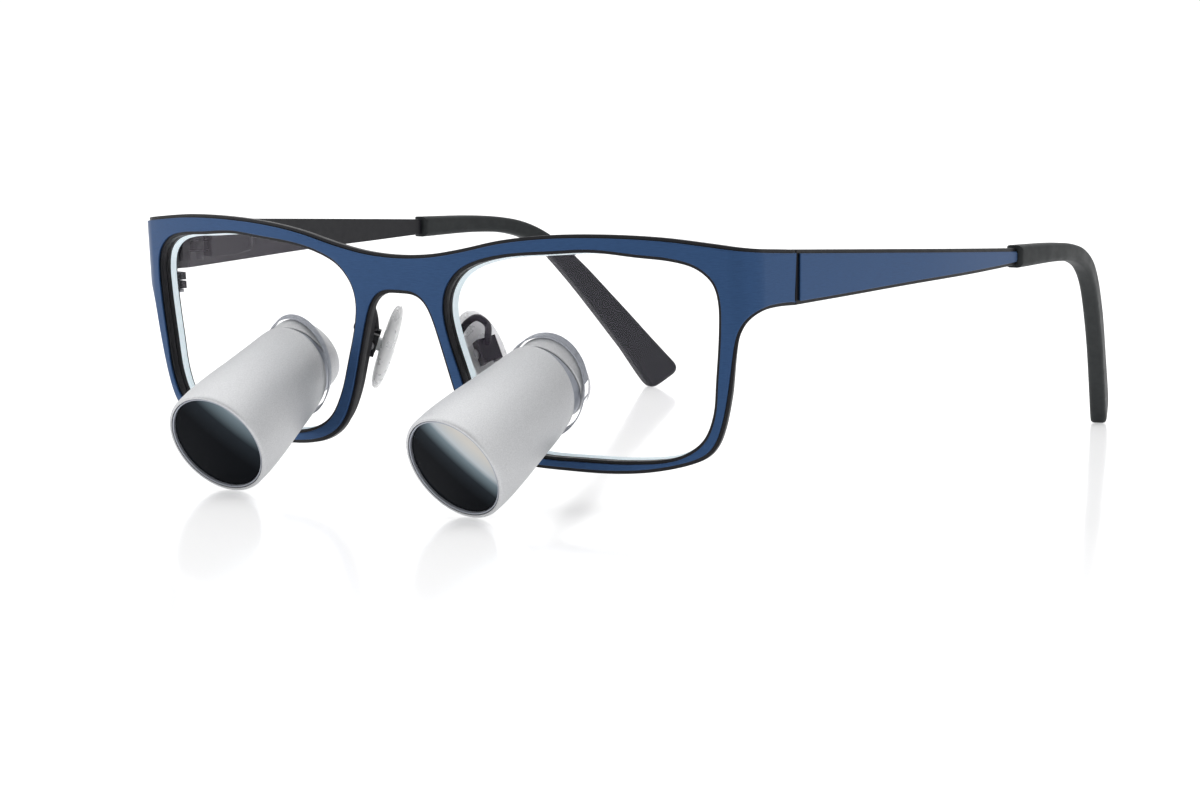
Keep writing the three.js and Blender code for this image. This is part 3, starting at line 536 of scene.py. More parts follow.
def boolean(base, others, operation):
    """Exact union, difference or intersection of (points, faces) solids, in the drawing frame."""
    def as_object(points, faces):
        shape = Shape().add(points, faces)
        mesh = finish_mesh("tool", shape, to_row=lambda p: p)
        thing = bpy.data.objects.new("tool", mesh)
        bpy.context.scene.collection.objects.link(thing)
        return thing

    body = as_object(*base)
    tools = [as_object(*other) for other in others]
    for tool in tools:
        step = body.modifiers.new("step", "BOOLEAN")
        step.object = tool
        step.operation = operation
        step.solver = "EXACT"
    result = body.evaluated_get(bpy.context.evaluated_depsgraph_get()).to_mesh()
    points = np.array([vert.co for vert in result.vertices], float)
    faces = [tuple(poly.vertices) for poly in result.polygons]
    for thing in [body, *tools]:
        bpy.data.objects.remove(thing)
    return points, faces


# ---- Materials --------------------


TEXTURE_SPREAD = (0.3, 0.7)  # the part of a noise texture's range that is used


def look(name, color, roughness, metallic=0.0, **sockets):
    made = bpy.data.materials.new(name)
    made.use_nodes = True
    shader = made.node_tree.nodes["Principled BSDF"]
    shader.inputs["Base Color"].default_value = (*color, 1)
    shader.inputs["Roughness"].default_value = roughness
    shader.inputs["Metallic"].default_value = metallic
    for key, value in sockets.items():
        shader.inputs[key.replace("_", " ")].default_value = value
    return made


def texture(made, size, detail=3.0, stretch=(1, 1, 1)):
    """Noise with features of the given size in millimetres, in object coordinates."""
    nodes, links = made.node_tree.nodes, made.node_tree.links
    where = nodes.new("ShaderNodeTexCoord")
    scale = nodes.new("ShaderNodeMapping")
    scale.inputs["Scale"].default_value = [1 / (size * MM * s) for s in stretch]
    noise = nodes.new("ShaderNodeTexNoise")
    noise.inputs["Scale"].default_value = 1
    noise.inputs["Detail"].default_value = detail
    links.new(where.outputs["Object"], scale.inputs["Vector"])
    links.new(scale.outputs["Vector"], noise.inputs["Vector"])
    return noise.outputs["Fac"]


def vary(made, socket, source, low, high):
    """Lets a texture move a number between two values."""
    nodes, links = made.node_tree.nodes, made.node_tree.links
    remap = nodes.new("ShaderNodeMapRange")
    remap.inputs["From Min"].default_value, remap.inputs["From Max"].default_value = TEXTURE_SPREAD
    remap.inputs["To Min"].default_value = low
    remap.inputs["To Max"].default_value = high
    links.new(source, remap.inputs["Value"])
    links.new(remap.outputs["Result"], nodes["Principled BSDF"].inputs[socket])


def tint(made, source, one, other):
    """Lets a texture move the base colour between two colours."""
    nodes, links = made.node_tree.nodes, made.node_tree.links
    ramp = nodes.new("ShaderNodeValToRGB")
    for stop, position, color in zip(ramp.color_ramp.elements, TEXTURE_SPREAD, (one, other)):
        stop.position, stop.color = position, (*color, 1)
    links.new(source, ramp.inputs["Fac"])
    links.new(ramp.outputs["Color"], nodes["Principled BSDF"].inputs["Base Color"])


def bump(made, source, height, strength=0.5):
    """Lets a texture raise the surface by up to a height in millimetres."""
    nodes, links = made.node_tree.nodes, made.node_tree.links
    relief = nodes.new("ShaderNodeBump")
    relief.inputs["Strength"].default_value = strength
    relief.inputs["Distance"].default_value = height * MM
    links.new(source, relief.inputs["Height"])
    links.new(relief.outputs["Normal"], nodes["Principled BSDF"].inputs["Normal"])


def surface(name, color, roughness, metallic=0.0, grain=None, tints=None, rough=None, relief=None, **sockets):
    """A look whose noise, a (size, detail) texture, moves its colour, roughness and height."""
    made = look(name, color, roughness, metallic, **sockets)
    noise = texture(made, *grain)
    if tints:
        tint(made, noise, *tints)
    if rough:
        vary(made, "Roughness", noise, *rough)
    if relief:
        bump(made, noise, *relief)
    return made


def objective_with_painted_reflection(name, side):
    """Near-black glass whose colour carries a painted reflection, a gradient stronger on the wearer's left.
    """
    made = look(name, (0.006, 0.007, 0.009), 0.03, Specular_IOR_Level=0.02)
    nodes, links = made.node_tree.nodes, made.node_tree.links
    where = nodes.new("ShaderNodeTexCoord")
    across = nodes.new("ShaderNodeVectorMath")
    across.operation = "SUBTRACT"
    across.inputs[1].default_value = place(OBJECTIVE_CENTRE * (side, 1, 1))
    toward = nodes.new("ShaderNodeVectorMath")
    toward.operation = "DOT_PRODUCT"
    # The painted reflection brightens along this direction.
    toward.inputs[1].default_value = (0.72, -0.32, 0.62)
    reach = nodes.new("ShaderNodeMapRange")
    low, high = PAINTED_REFLECTION_SPAN[side]
    reach.inputs["From Min"].default_value = low * MM
    reach.inputs["From Max"].default_value = high * MM
    ramp = nodes.new("ShaderNodeValToRGB")
    stops = ramp.color_ramp.elements
    stops[0].position, stops[0].color = 0, (0.005, 0.006, 0.008, 1)
    stops[1].position, stops[1].color = 1, (0.62, 0.60, 0.56, 1)
    for position, color in PAINTED_REFLECTION_STOPS:
        stops.new(position).color = (*color, 1)
    links.new(where.outputs["Object"], across.inputs[0])
    links.new(across.outputs["Vector"], toward.inputs[0])
    links.new(toward.outputs["Value"], reach.inputs["Value"])
    links.new(reach.outputs["Result"], ramp.inputs["Fac"])
    links.new(ramp.outputs["Color"], nodes["Principled BSDF"].inputs["Base Color"])
    return made


# Where the painted reflection's gradient starts and ends, in millimetres from the middle of each objective.
PAINTED_REFLECTION_SPAN = {1: (-2, 7.4), -1: (0.5, 12.5)}
# Colours of the painted reflection, from the dark glass to its brightest part.
PAINTED_REFLECTION_STOPS = (
    (0.35, (0.018, 0.023, 0.029)), (0.62, (0.17, 0.22, 0.25)), (0.74, (0.50, 0.54, 0.57)),
)

BLUE = surface(
    "blue_satin", (0.022, 0.063, 0.156), 0.36, 0.7, grain=(0.09, 4, (14, 14, 1)),
    tints=((0.019, 0.054, 0.136), (0.026, 0.072, 0.176)), rough=(0.32, 0.44), relief=(0.0015, 0.3),
)
BLACK = surface(
    "black_satin", (0.008, 0.008, 0.010), 0.38, grain=(0.12, 5),
    tints=((0.005, 0.005, 0.007), (0.011, 0.011, 0.014)), relief=(0.002, 0.3), Specular_IOR_Level=0.22,
)
vary(BLACK, "Roughness", texture(BLACK, 1.6, 4), 0.32, 0.46)
PLASTIC = surface(
    "black_plastic", (0.012, 0.014, 0.015), 0.5, grain=(1.2, 2),
    tints=((0.010, 0.012, 0.013), (0.014, 0.017, 0.018)), Specular_IOR_Level=0.25,
)
vary(PLASTIC, "Roughness", texture(PLASTIC, 2.5, 2), 0.48, 0.58)
SATIN = surface(
    "satin_aluminium", (0.6, 0.605, 0.615), 0.5, 0.65, grain=(0.2, 5),
    tints=((0.54, 0.545, 0.555), (0.67, 0.675, 0.685)), rough=(0.5, 0.62), relief=(0.003, 0.3),
)
POLISHED = surface(
    "polished_aluminium", (0.38, 0.40, 0.45), 0.5, 0.5, grain=(0.1, 2),
    tints=((0.35, 0.37, 0.42), (0.42, 0.44, 0.49)), rough=(0.42, 0.55),
)
STEEL = surface(
    "steel", (0.42, 0.42, 0.44), 0.3, 1.0, grain=(0.08,), rough=(0.26, 0.4), relief=(0.003, 0.4),
)
ANODISED = surface("black_anodised", (0.006, 0.006, 0.007), 0.6, 0.2, grain=(0.15,), rough=(0.55, 0.7))
LENS = surface(
    "carrier_glass", (0.98, 0.975, 0.985), 0.0, grain=(9, 1),
    tints=((0.97, 0.965, 0.98), (0.99, 0.99, 0.99)), IOR=1.2, Transmission_Weight=1.0,
    Specular_Tint=(0.75, 0.6, 0.9, 1),
)
# The frosted edge's emission is painted light: a painted glow that stands in for the light the ground edge
# catches.
LENS_EDGE_GLOW = surface(
    "frosted_edge_painted_glow", (0.84, 0.92, 0.95), 0.4, grain=(0.1,),
    tints=((0.80, 0.90, 0.93), (0.90, 0.96, 0.98)), Emission_Color=(0.8, 0.93, 1, 1), Emission_Strength=0.35,
)
OPTIC = surface(
    "optical_glass", (0.02, 0.024, 0.03), 0.03, grain=(7, 1),
    tints=((0.016, 0.018, 0.022), (0.026, 0.031, 0.038)), rough=(0.02, 0.05), IOR=1.6,
    Specular_IOR_Level=0.3,
)
OBJECTIVES = {side: objective_with_painted_reflection(f"objective_with_painted_reflection_{name}", side) for name, side in SIDES}
SILICONE = surface(
    "silicone", (0.95, 0.95, 0.95), 0.3, grain=(1.8, 2),
    tints=((0.90, 0.90, 0.91), (0.97, 0.97, 0.97)), rough=(0.24, 0.36), IOR=1.41, Transmission_Weight=0.45,
)
RESIN = surface(
    "clear_resin", (0.42, 0.44, 0.49), 0.4, grain=(0.6,),
    tints=((0.38, 0.40, 0.45), (0.46, 0.48, 0.53)), Specular_IOR_Level=0.3,
)
PAD_CORE = surface(
    "pad_plastic", (0.86, 0.87, 0.88), 0.3, grain=(0.9,),
    tints=((0.76, 0.80, 0.81), (0.88, 0.90, 0.91)), IOR=1.5, Transmission_Weight=0.2,
)

# ---- Front --------------------

ALL_STATIONS = stations_over(-SEAM, SEAM)
HALF_STATIONS = stations_over(0, SEAM)


def front_sheet():
    opening = offset(APERTURE, LIP_EDGE)
    made = Shape().add(*plate(
        FRONT_OUTLINE, [opening, flip(opening)], SHEET_BACK, SHEET_FACE, 0.1, on_front, ALL_STATIONS
    ))
    piece("front_sheet", made, "front", "black_metal", [BLACK])


def front_facing():
    outline = offset(FRONT_OUTLINE, -BORDER)
    made = Shape().add(*plate(
        outline, [APERTURE, flip(APERTURE)], SHEET_FACE, 0, 0.12, on_front, ALL_STATIONS
    ))
    piece("front_facing", made, "front", "blue_metal", [BLUE])


CLOSING_BLOCK = {"inner": 62.1, "outer": 64.1, "height": 1.5, "back": RIM_BACK - 1.6}
CLOSING_SCREW = {"length": 63.1, "depth": RIM_BACK - 0.8, "radius": 0.35, "head": 0.65}


def eyewires():
    lip, groove = LIP_EDGE, LIP_EDGE + GROOVE_DEPTH
    groove_back, groove_front = LENS_MIDDLE - RIM_GROOVE / 2, LENS_MIDDLE + RIM_GROOVE / 2
    section = fillet([
        (RIM_WIDTH, RIM_FACE), (lip, RIM_FACE), (lip, groove_front), (groove, groove_front),
        (groove, groove_back), (lip, groove_back), (lip, RIM_BACK), (RIM_WIDTH, RIM_BACK),
    ], [0.3, 0.08, 0.08, 0.08, 0.08, 0.08, 0.12, 0.3], steps=2)
    lugs = []
    height = CLOSING_BLOCK["height"]
    for low, high in ((-height, -0.12), (0.12, height)):
        lugs.append(block(
            CLOSING_BLOCK["inner"], CLOSING_BLOCK["outer"], RIM_SPLIT_HEIGHT + low, RIM_SPLIT_HEIGHT + high,
            CLOSING_BLOCK["back"], RIM_BACK + 0.4, on_front, 4,
        ))
    for name, side in SIDES:
        made = Shape().add(*carried(APERTURE, section, on_front))
        for lug in lugs:
            made.add(*lug)
        piece(f"eyewire_{name}", made, "front", "black_metal", [BLACK], side, bevel=0.12)


def eyewire_screws():
    length, depth, radius, cap = (CLOSING_SCREW[key] for key in ("length", "depth", "radius", "head"))
    bottom = RIM_SPLIT_HEIGHT - CLOSING_BLOCK["height"]
    top = RIM_SPLIT_HEIGHT + CLOSING_BLOCK["height"]
    low, high = on_front([(length, bottom - 0.75, depth), (length, top + 0.1, depth)])
    shank = rod(radius, low + (0, 0, 0.4), high, 24, 0.08)
    head = rod(cap, low, low + (0, 0, 0.6), 40, 0.1)
    slit = block(low[0] - 1.2, low[0] + 1.2, low[1] - 0.13, low[1] + 0.13, low[2] - 0.2, low[2] + 0.3)
    head = boolean(head, [slit], "DIFFERENCE")
    for name, side in SIDES:
        made = Shape().add(*shank).add(*head)
        piece(f"eyewire_screw_{name}", made, "front", "steel", [STEEL], side)


# ---- Telescopes --------------------


def telescope_axis():
    level = math.cos(DECLINATION)
    return np.array((
        math.sin(CONVERGENCE) * level, math.cos(CONVERGENCE) * level, math.sin(DECLINATION),
    ))


TELESCOPE = axis_frame(OBJECTIVE_CENTRE, telescope_axis())
INWARD = 0.998  # keeps the round surfaces inside the faceted solids' box

SHELL_INSIDE = [(24.6, 6.65), (18.9, 6.65), (18.2, 7.5), (7, 8), (7, 9), (1.2, 9), (1.2, 9.3)]
# The barrel's rear end is cut on a slant, and the ring behind it is a wedge that squares it up.
CANT = 0.21
CANT_SPAN = (19, 24)
RING_REAR = 26


def shell_profile():
    """The shell's outer curve drawn smooth, then its stepped inside."""
    front = [(0.04, 9.3), (0, 9.34), (0, 9.56), (0.07, 9.69), (0.2, 9.8), (0.42, 9.88), (0.75, 9.92)]
    barrel = spline([(0.75, 9.92), (4, 9.92), (9, 9.55), (14, 8.97), (19, 8.45), (22, 8.08)], 40)[1:]
    shoulder = spline([(22, 8.08), (23.2, 7.9), (23.9, 7.75), (24.4, 7.5), (24.6, 7.15)], 12)[1:]
    return [*front, *barrel.tolist(), *shoulder.tolist(), *SHELL_INSIDE]


def lens_profile(front_curve, back_curve):
    return spline(front_curve, 14).tolist() + spline(back_curve, 14).tolist()


def canted(share):
    """The telescope's frame, sheared along the axis; share tells how much at each distance back."""
    def to_frame(points):
        points = np.array(points, float)
        points[:, 1] += CANT * points[:, 2] * share(points[:, 1])
        return TELESCOPE(points)

    return to_frame


def shell_share(back):
    start, end = CANT_SPAN
    return smooth((back - start) / (end - start))


def ring_share(back):
    return np.where(back < RING_REAR, 1, 0)


def telescopes():
    shell = revolved(shell_profile(), canted(shell_share), 128)
    rim = fillet([(0.15, 8.93), (0.15, 9.15), (1.08, 9.15), (1.08, 8.93)], 0.05)
    bezel = revolved(rim, TELESCOPE, 128)
    crown = revolved(lens_profile(
        [(0.05, 0), (0.12, 3), (0.3, 6), (0.55, 8.8)], [(2.4, 8.8), (3.6, 5), (4, 0)],
    ), TELESCOPE)
    flint = revolved(lens_profile(
        [(4.15, 0), (3.75, 5), (2.6, 8.8)], [(5.2, 8.8), (5, 4.5), (4.9, 0)],
    ), TELESCOPE)
    baffle = revolved(fillet([
        (7.3, 6.9), (7.3, 7.7), (17.6, 7.2), (18.9, 6.4), (22.6, 6.35), (22.6, 5.7), (17.5, 6),
    ], 0.1, 1), TELESCOPE, 64)
    wedge = fillet([(24.75, 6.7), (24.75, 7.0), (26.45, 7.0), (26.45, 6.7)], 0.06)
    ring = revolved(wedge, canted(ring_share), 128)
    rear = revolved(fillet([
        (23, 5.7), (23, 6.5), (26.6, 6.5), (26.6, 7.1), (26.8, 7.22), (28.8, 7.22),
        (29.6, 7.05), (30.1, 6.6), (30.1, 5.8), (29.5, 5.6), (29.2, 5.1), (26.4, 5.1),
    ], 0.2), TELESCOPE, 128)
    eye = revolved(lens_profile(
        [(27.7, 0), (27.4, 2.5), (26.6, 4.95)], [(28.9, 4.95), (28.4, 2.5), (28.2, 0)],
    ), TELESCOPE)
    made = {
        "barrel_shell": (shell, "satin_aluminium", SATIN, 30),
        "objective_bezel": (bezel, "polished_aluminium", POLISHED, 30),
        "objective_crown": (crown, "coated_glass", OPTIC, 50),
        "objective_flint": (flint, "coated_glass", OPTIC, 50),
        "baffle_tube": (baffle, "black_anodised", ANODISED, 40),
        "adjusting_ring": (ring, "polished_aluminium", POLISHED, 30),
        "eyepiece_ring": (rear, "satin_aluminium", SATIN, 30),
        "eyepiece_lens": (eye, "coated_glass", OPTIC, 50),
    }
    axis = telescope_axis()
    for name, side in SIDES:
        for node, (solid, slot, finish, sharp) in made.items():
            finish = OBJECTIVES[side] if node == "objective_crown" else finish
            points, faces = solid
            centre = OBJECTIVE_CENTRE + axis * ((points - OBJECTIVE_CENTRE) @ axis)[:, None]
            points = centre + (points - centre) * INWARD
            piece(f"{node}_{name}", Shape().add(points, faces), "front", slot, [finish], side, sharp)


# ---- Carrier lenses --------------------

LENS_BACK, LENS_FRONT = LENS_MIDDLE - LENS_THICKNESS / 2, LENS_MIDDLE + LENS_THICKNESS / 2
BOND_WIDTH = 0.2
REAR_BEVEL = 0.55
EDGE_LIMIT = 0.85  # a face counts as an edge when its normal has less than this share along Y
HOLE_SURROUND = (14, 44, -19, 9)  # a patch of the lens's sheet that holds the whole hole
HOLE_REACH = 9  # edges nearer to the telescope's axis than this belong to its hole


def envelope(margin):
    """The rear of the telescope, grown by a margin, as a solid that cuts the lens's hole."""
    profile = [(17, 8.85), (28.5, 7.45), (TELESCOPE_LENGTH, 7.3), (38, 7.3)]
    grown = [(along, radius + margin) for along, radius in profile]
    return revolved([(17, 0), *grown, (38, 0)], TELESCOPE, 96)


def edge_slots(points, faces):
    """Material slots of the lens's faces: 1 for its ground edge, 2 for the hole's bonded wall."""
    slots = []
    for face in faces:
        a, b, c = (points[i] for i in (face[0], face[1], face[2]))
        normal = np.cross(b - a, c - b)
        size = np.linalg.norm(normal)
        from_axis = np.linalg.norm(np.cross(a - OBJECTIVE_CENTRE, telescope_axis()))
        across = size < 1e-12 or abs(normal[1] / size) < EDGE_LIMIT
        slots.append((1 if from_axis > HOLE_REACH else 2) if across else 0)
    return slots


def carrier_lenses():
    outline = offset(APERTURE, LIP_EDGE + GROOVE_DEPTH - 0.15)
    bevel = [(REAR_BEVEL, 0), (0, REAR_BEVEL)]
    blank = plate(outline, [], LENS_BACK, LENS_FRONT, 0.12, on_front, HALF_STATIONS, bevel)
    inner, outer, low, high = HOLE_SURROUND
    around = plate(
        [(inner, low), (outer, low), (outer, high), (inner, high)], [], LENS_BACK, LENS_FRONT, 0.05,
        on_front, [station for station in HALF_STATIONS if inner < station < outer],
    )
    lens = boolean(blank, [envelope(GAP + BOND_WIDTH)], "DIFFERENCE")
    disc = boolean(around, [envelope(GAP + BOND_WIDTH - 0.02)], "INTERSECT")
    collar = boolean(disc, [envelope(0.1)], "DIFFERENCE")
    for name, side in SIDES:
        made = Shape().add(*lens)
        made.slots = edge_slots(*lens)
        piece(f"carrier_lens_{name}", made, "front", "clear_lens", [LENS, LENS_EDGE_GLOW, RESIN], side)
        piece(f"bond_collar_{name}", Shape().add(*collar), "front", "clear_resin", [RESIN], side)


# ---- Nose pads --------------------

PAD_BOX = {"half": 1.7, "height": 2.1, "near": -4.9, "far": -1.9, "wall": 0.85}
PAD_PIN = {"depth": -3.1, "shank": 0.45, "bore": 0.65, "head": 0.85}
PAD_ARM_FOOT = (9.4, 1.8)
PAD_WIRE = 0.6


def pad_axes():
    level = math.cos(PAD_FACE_DROP)
    face = np.array((
        -math.cos(PAD_FACE_ANGLE) * level, math.sin(PAD_FACE_ANGLE) * level, -math.sin(PAD_FACE_DROP),
    ))
    length = np.array((-math.sin(PAD_SPLAY), 0, math.cos(PAD_SPLAY)))
    length -= face * length.dot(face)
    length /= np.linalg.norm(length)
    return np.array((np.cross(length, face), length, face))


PAD_AXES = pad_axes()


def on_pad(points):
    return np.asarray(points, float) @ PAD_AXES + PAD_CENTRE


def pad_body():
    """An oval cushion with a crowned face and a flatter back, as stacked ovals."""
    half_width, half_length, half_depth = PAD_WIDTH / 2, PAD_LENGTH / 2, PAD_THICKNESS / 2
    rows, around = 22, 64
    points, faces = [], []
    for k in range(rows + 1):
        a = -math.pi / 2 + math.pi * k / rows
        power = 0.62 if a < 0 else 0.8
        scale = max(abs(math.cos(a)), 1e-3) ** power
        depth = half_depth * math.copysign(abs(math.sin(a)) ** (0.9 if a > 0 else 0.75), a)
        for i in range(around):
            t = 2 * math.pi * i / around
            narrow = 1 - 0.10 * math.sin(t) * 0.5
            x = half_width * scale * math.copysign(abs(math.cos(t)) ** 0.92, math.cos(t)) * narrow
            y = half_length * scale * math.copysign(abs(math.sin(t)) ** 0.98, math.sin(t))
            points.append((x, y, depth))
    for k in range(rows):
        for i in range(around):
            j = (i + 1) % around
            low, high = k * around, (k + 1) * around
            faces.append((low + i, low + j, high + j, high + i))
    faces.append(tuple(range(around))[::-1])
    faces.append(tuple(rows * around + i for i in range(around)))
    return on_pad(points), faces


def oval(margin):
    half_width, half_length = PAD_WIDTH / 2 - margin, PAD_LENGTH / 2 - margin
    turns = np.linspace(0, 2 * math.pi, 48, endpoint=False)
    return [(half_width * math.cos(t), half_length * math.sin(t)) for t in turns]


def nose_pads():
    half, height, near, far, wall = (PAD_BOX[key] for key in ("half", "height", "near", "far", "wall"))
    depth = PAD_PIN["depth"]
    plate_part = prism(oval(1.75), -0.95, -0.05, on_pad)
    lug = block(-0.55, 0.55, -1.1, 1.1, depth - 0.8, -0.85, on_pad)
    core = boolean(plate_part, [lug], "UNION")
    shell = block(-half, half, -height, height, near, far, on_pad)
    pocket = block(-wall, wall, -height - 1, height + 1, near + 0.45, far + 1, on_pad)
    box = boolean(shell, [pocket], "DIFFERENCE")
    foot = on_front([(*PAD_ARM_FOOT, RIM_BACK - 0.3)])[0]
    path = spline([
        foot, foot + (1.1, 1, 2.1), foot + (2.4, 2, 3), foot + (4.1, 2.7, 1.9),
        on_pad([(0, 1.9, near - 1.1)])[0], on_pad([(0, 1.2, near + 0.15)])[0],
    ], 60)
    wire = swept(path, PAD_WIRE)
    pin = rod(PAD_PIN["shank"], *on_pad([(-half - 0.1, 0, depth), (half + 0.3, 0, depth)]), 24, 0.08)
    head_from, head_to = on_pad([(half + 0.15, 0, depth), (half + 0.6, 0, depth)])
    head = rod(PAD_PIN["head"], head_from, head_to, 32, 0.1)
    slit = block(half + 0.4, half + 0.8, -1.2, 1.2, depth - 0.12, depth + 0.12, on_pad)
    head = boolean(head, [slit], "DIFFERENCE")
    for name, side in SIDES:
        cushion, arm, body = Shape().add(*pad_body()), Shape().add(*box).add(*wire), f"pad_{name}"
        piece(f"nose_pad_{name}", cushion, body, "clear_silicone", [SILICONE], side, 60)
        piece(f"pad_core_{name}", Shape().add(*core), body, "pad_core", [PAD_CORE], side, 40, 0.12)
        piece(f"pad_arm_{name}", arm, "front", "black_metal", [BLACK], side, 40, 0.12)
        piece(f"pad_screw_{name}", Shape().add(*pin).add(*head), "front", "steel", [STEEL], side)


# ---- Spring hinges --------------------

HINGE_BORE = 0.65
LEAF = {"half": 2.6, "slot": 1, "near": -2.9, "far": -1.6}
SLIDER = {"start": 2.1, "end": 11.5, "half": 0.8, "knuckle": 0.88, "rod": 0.95, "flange": 1.42}
HOUSING = {
    "start": 2, "straight": 9, "slope": 13, "end": 17, "half": 2.2, "tail": 0.9, "outer": 1.85,
    "inner": -1.95,
}
COIL = {"turns": 9, "radius": 1.2, "wire": 0.13}
SPRING_ROOM = {"start": 3, "end": 12.4, "half": 1.52}


def at_hinge(x, y, z):
    return HINGE + (x, y, z)


def barrel(low, high):
    return rod(KNUCKLE_RADIUS, at_hinge(0, 0, low), at_hinge(0, 0, high), 48, 0.1)


def hinge_block(x0, x1, y0, y1, z0, z1):
    x, y, z = HINGE
    return block(x + x0, x + x1, y + y0, y + y1, z + z0, z + z1)


def hinge_bore():
    return rod(HINGE_BORE, at_hinge(0, 0, -6), at_hinge(0, 0, 6), 32)


def hinge_fronts():
    half, slot, near, far = (LEAF[key] for key in ("half", "slot", "near", "far"))
    z = HINGE_HEIGHT
    leaf = block(CORNER_END + 0.6, SEAM - 2, z - half, z + half, near, far, on_front, 8)
    parts = [hinge_block(-0.5, 1.3, -4.2, -2.2, -half, half)]
    for low, high in ((-half, -slot), (slot, half)):
        parts.append(hinge_block(-0.9, 1, -half, 0, low, high))
        parts.append(barrel(low, high))
    solid = boolean(boolean(leaf, parts, "UNION"), [hinge_bore()], "DIFFERENCE")
    for name, side in SIDES:
        piece(f"hinge_front_{name}", Shape().add(*solid), "front", "black_metal", [BLACK], side, 30, 0.07)


def hinge_sliders():
    start, end, half = (SLIDER[key] for key in ("start", "end", "half"))
    parts = [
        hinge_block(-half, half, 0, start + half, -half, half),
        rod(SLIDER["rod"], at_hinge(0, start, 0), at_hinge(0, end, 0), 40, 0.05),
        rod(SLIDER["flange"], at_hinge(0, end - 0.8, 0), at_hinge(0, end, 0), 40, 0.08),
    ]
    knuckle = barrel(-SLIDER["knuckle"], SLIDER["knuckle"])
    solid = boolean(boolean(knuckle, parts, "UNION"), [hinge_bore()], "DIFFERENCE")
    turns = np.linspace(0, 2 * math.pi * COIL["turns"], 24 * COIL["turns"])
    run = np.linspace(SPRING_ROOM["start"] + 0.3, end - 1.05, len(turns))
    across, up = COIL["radius"] * np.cos(turns), COIL["radius"] * np.sin(turns)
    coil = np.column_stack([HINGE[0] + across, HINGE[1] + run, HINGE[2] + up])
    spring = swept(coil, COIL["wire"], 10)
    for name, side in SIDES:
        body = f"hinge_slide_{name}"
        piece(f"hinge_slider_{name}", Shape().add(*solid), body, "black_metal", [BLACK], side, 30, 0.06)
        piece(f"hinge_spring_{name}", Shape().add(*spring), body, "steel", [STEEL], side, 60)


def hinge_housings():
    start, straight, slope, end = (HOUSING[key] for key in ("start", "straight", "slope", "end"))
    half, tail, outer, inner = (HOUSING[key] for key in ("half", "tail", "outer", "inner"))
    plan = [(inner, start), (outer, start), (outer + 0.2, end), (1.2, end), (inner, slope)]
    body = prism(plan, -half, half, lambda p: p + HINGE)
    side_view = [
        (start, -half), (straight, -half), (end, -tail), (end, tail), (straight, half), (start, half),
    ]
    taper = prism(side_view, -6, 6, lambda p: p[:, [2, 0, 1]] + HINGE)
    solid = boolean(body, [taper], "INTERSECT")
    room = SPRING_ROOM["half"]
    cuts = [
        hinge_block(-1.1, 1.1, start - 1, SPRING_ROOM["start"] + 0.5, -1.1, 1.1),
        hinge_block(-room, room, SPRING_ROOM["start"], SPRING_ROOM["end"], -room, room),
    ]
    solid = boolean(solid, cuts, "DIFFERENCE")
    for name, side in SIDES:
        made = Shape().add(*solid)
        piece(f"hinge_housing_{name}", made, f"temple_{name}", "black_metal", [BLACK], side, 30, 0.15)


def hinge_screws():
    shank = rod(0.45, at_hinge(0, 0, -HINGE_SCREW_REACH), at_hinge(0, 0, 2.9), 24, 0.05)
    head = rod(0.95, at_hinge(0, 0, 2.72), at_hinge(0, 0, 3.15), 40, 0.1)
    slit = hinge_block(-1.2, 1.2, -0.13, 0.13, 2.98, 3.4)
    head = boolean(head, [slit], "DIFFERENCE")
    for name, side in SIDES:
        piece(f"hinge_screw_{name}", Shape().add(*shank).add(*head), "front", "steel", [STEEL], side)


# ---- Temples --------------------

TEMPLE_START = SEAM_Y + SEAM_GAP
TEMPLE_TOP = [(TEMPLE_START, 18), (45, 16.5), (70, 15.0), (SLEEVE_START + 0.4, 13.75)]
TEMPLE_BOTTOM = [(SLEEVE_START + 0.4, 10.75), (75, 10.3), (55, 9.9), (35, 9.3), (TEMPLE_START, 8.85)]
TAIL = {"top": 13.1, "bottom": 11.4, "end": 112}
SLEEVE_TOP = [
    (SLEEVE_START, 14.3), (97, 14.1), (106, 13.75), (114, 13.1), (121, 11.8), (127, 9.4), (132, 6),
    (137, 1.6), (145.3, -7), (152, -14.3), (157.9, -20.6),
]
SLEEVE_END = [(158.5, -21.7), (158.2, -22.9), (156.4, -24.2), (154, -25.6), (152.8, -25.9), (151.9, -25.3)]
SLEEVE_BOTTOM = [
    (146, -17), (139, -8), (132.8, -0.6), (127.9, 4.4), (123.2, 7.5), (117, 9.4), (108, 10.2),
    (SLEEVE_START, 10.2),
]


def temple_outline():
    return np.vstack([relax(spline(edge, 120), 0.6, 1.5) for edge in (TEMPLE_TOP, TEMPLE_BOTTOM)])


def temples():
    outline = temple_outline()
    stations = list(between(TEMPLE_START + 1, SLEEVE_START, 3))
    sheet = plate(outline, [], SHEET_BACK, SHEET_FACE, 0.12, on_temple, stations)
    start, end, bottom, top = SLEEVE_START - 1, TAIL["end"], TAIL["bottom"], TAIL["top"]
    tail = plate(
        [(start, bottom), (end, bottom), (end, top), (start, top)], [], SHEET_BACK + 0.1, SHEET_FACE - 0.1,
        0.1, on_temple, list(between(SLEEVE_START, end - 1, 3)),
    )
    inset = offset(outline, -BORDER)
    inset[:, 0] = np.clip(inset[:, 0], TEMPLE_START, SLEEVE_START - 0.2)
    facing = plate(resample(inset, 0.6, closed=True), [], SHEET_FACE, 0, 0.1, on_temple, stations)
    for name, side in SIDES:
        body, made = f"temple_{name}", Shape().add(*sheet).add(*tail)
        piece(f"temple_sheet_{name}", made, body, "black_metal", [BLACK], side)
        piece(f"temple_facing_{name}", Shape().add(*facing), body, "blue_metal", [BLUE], side)


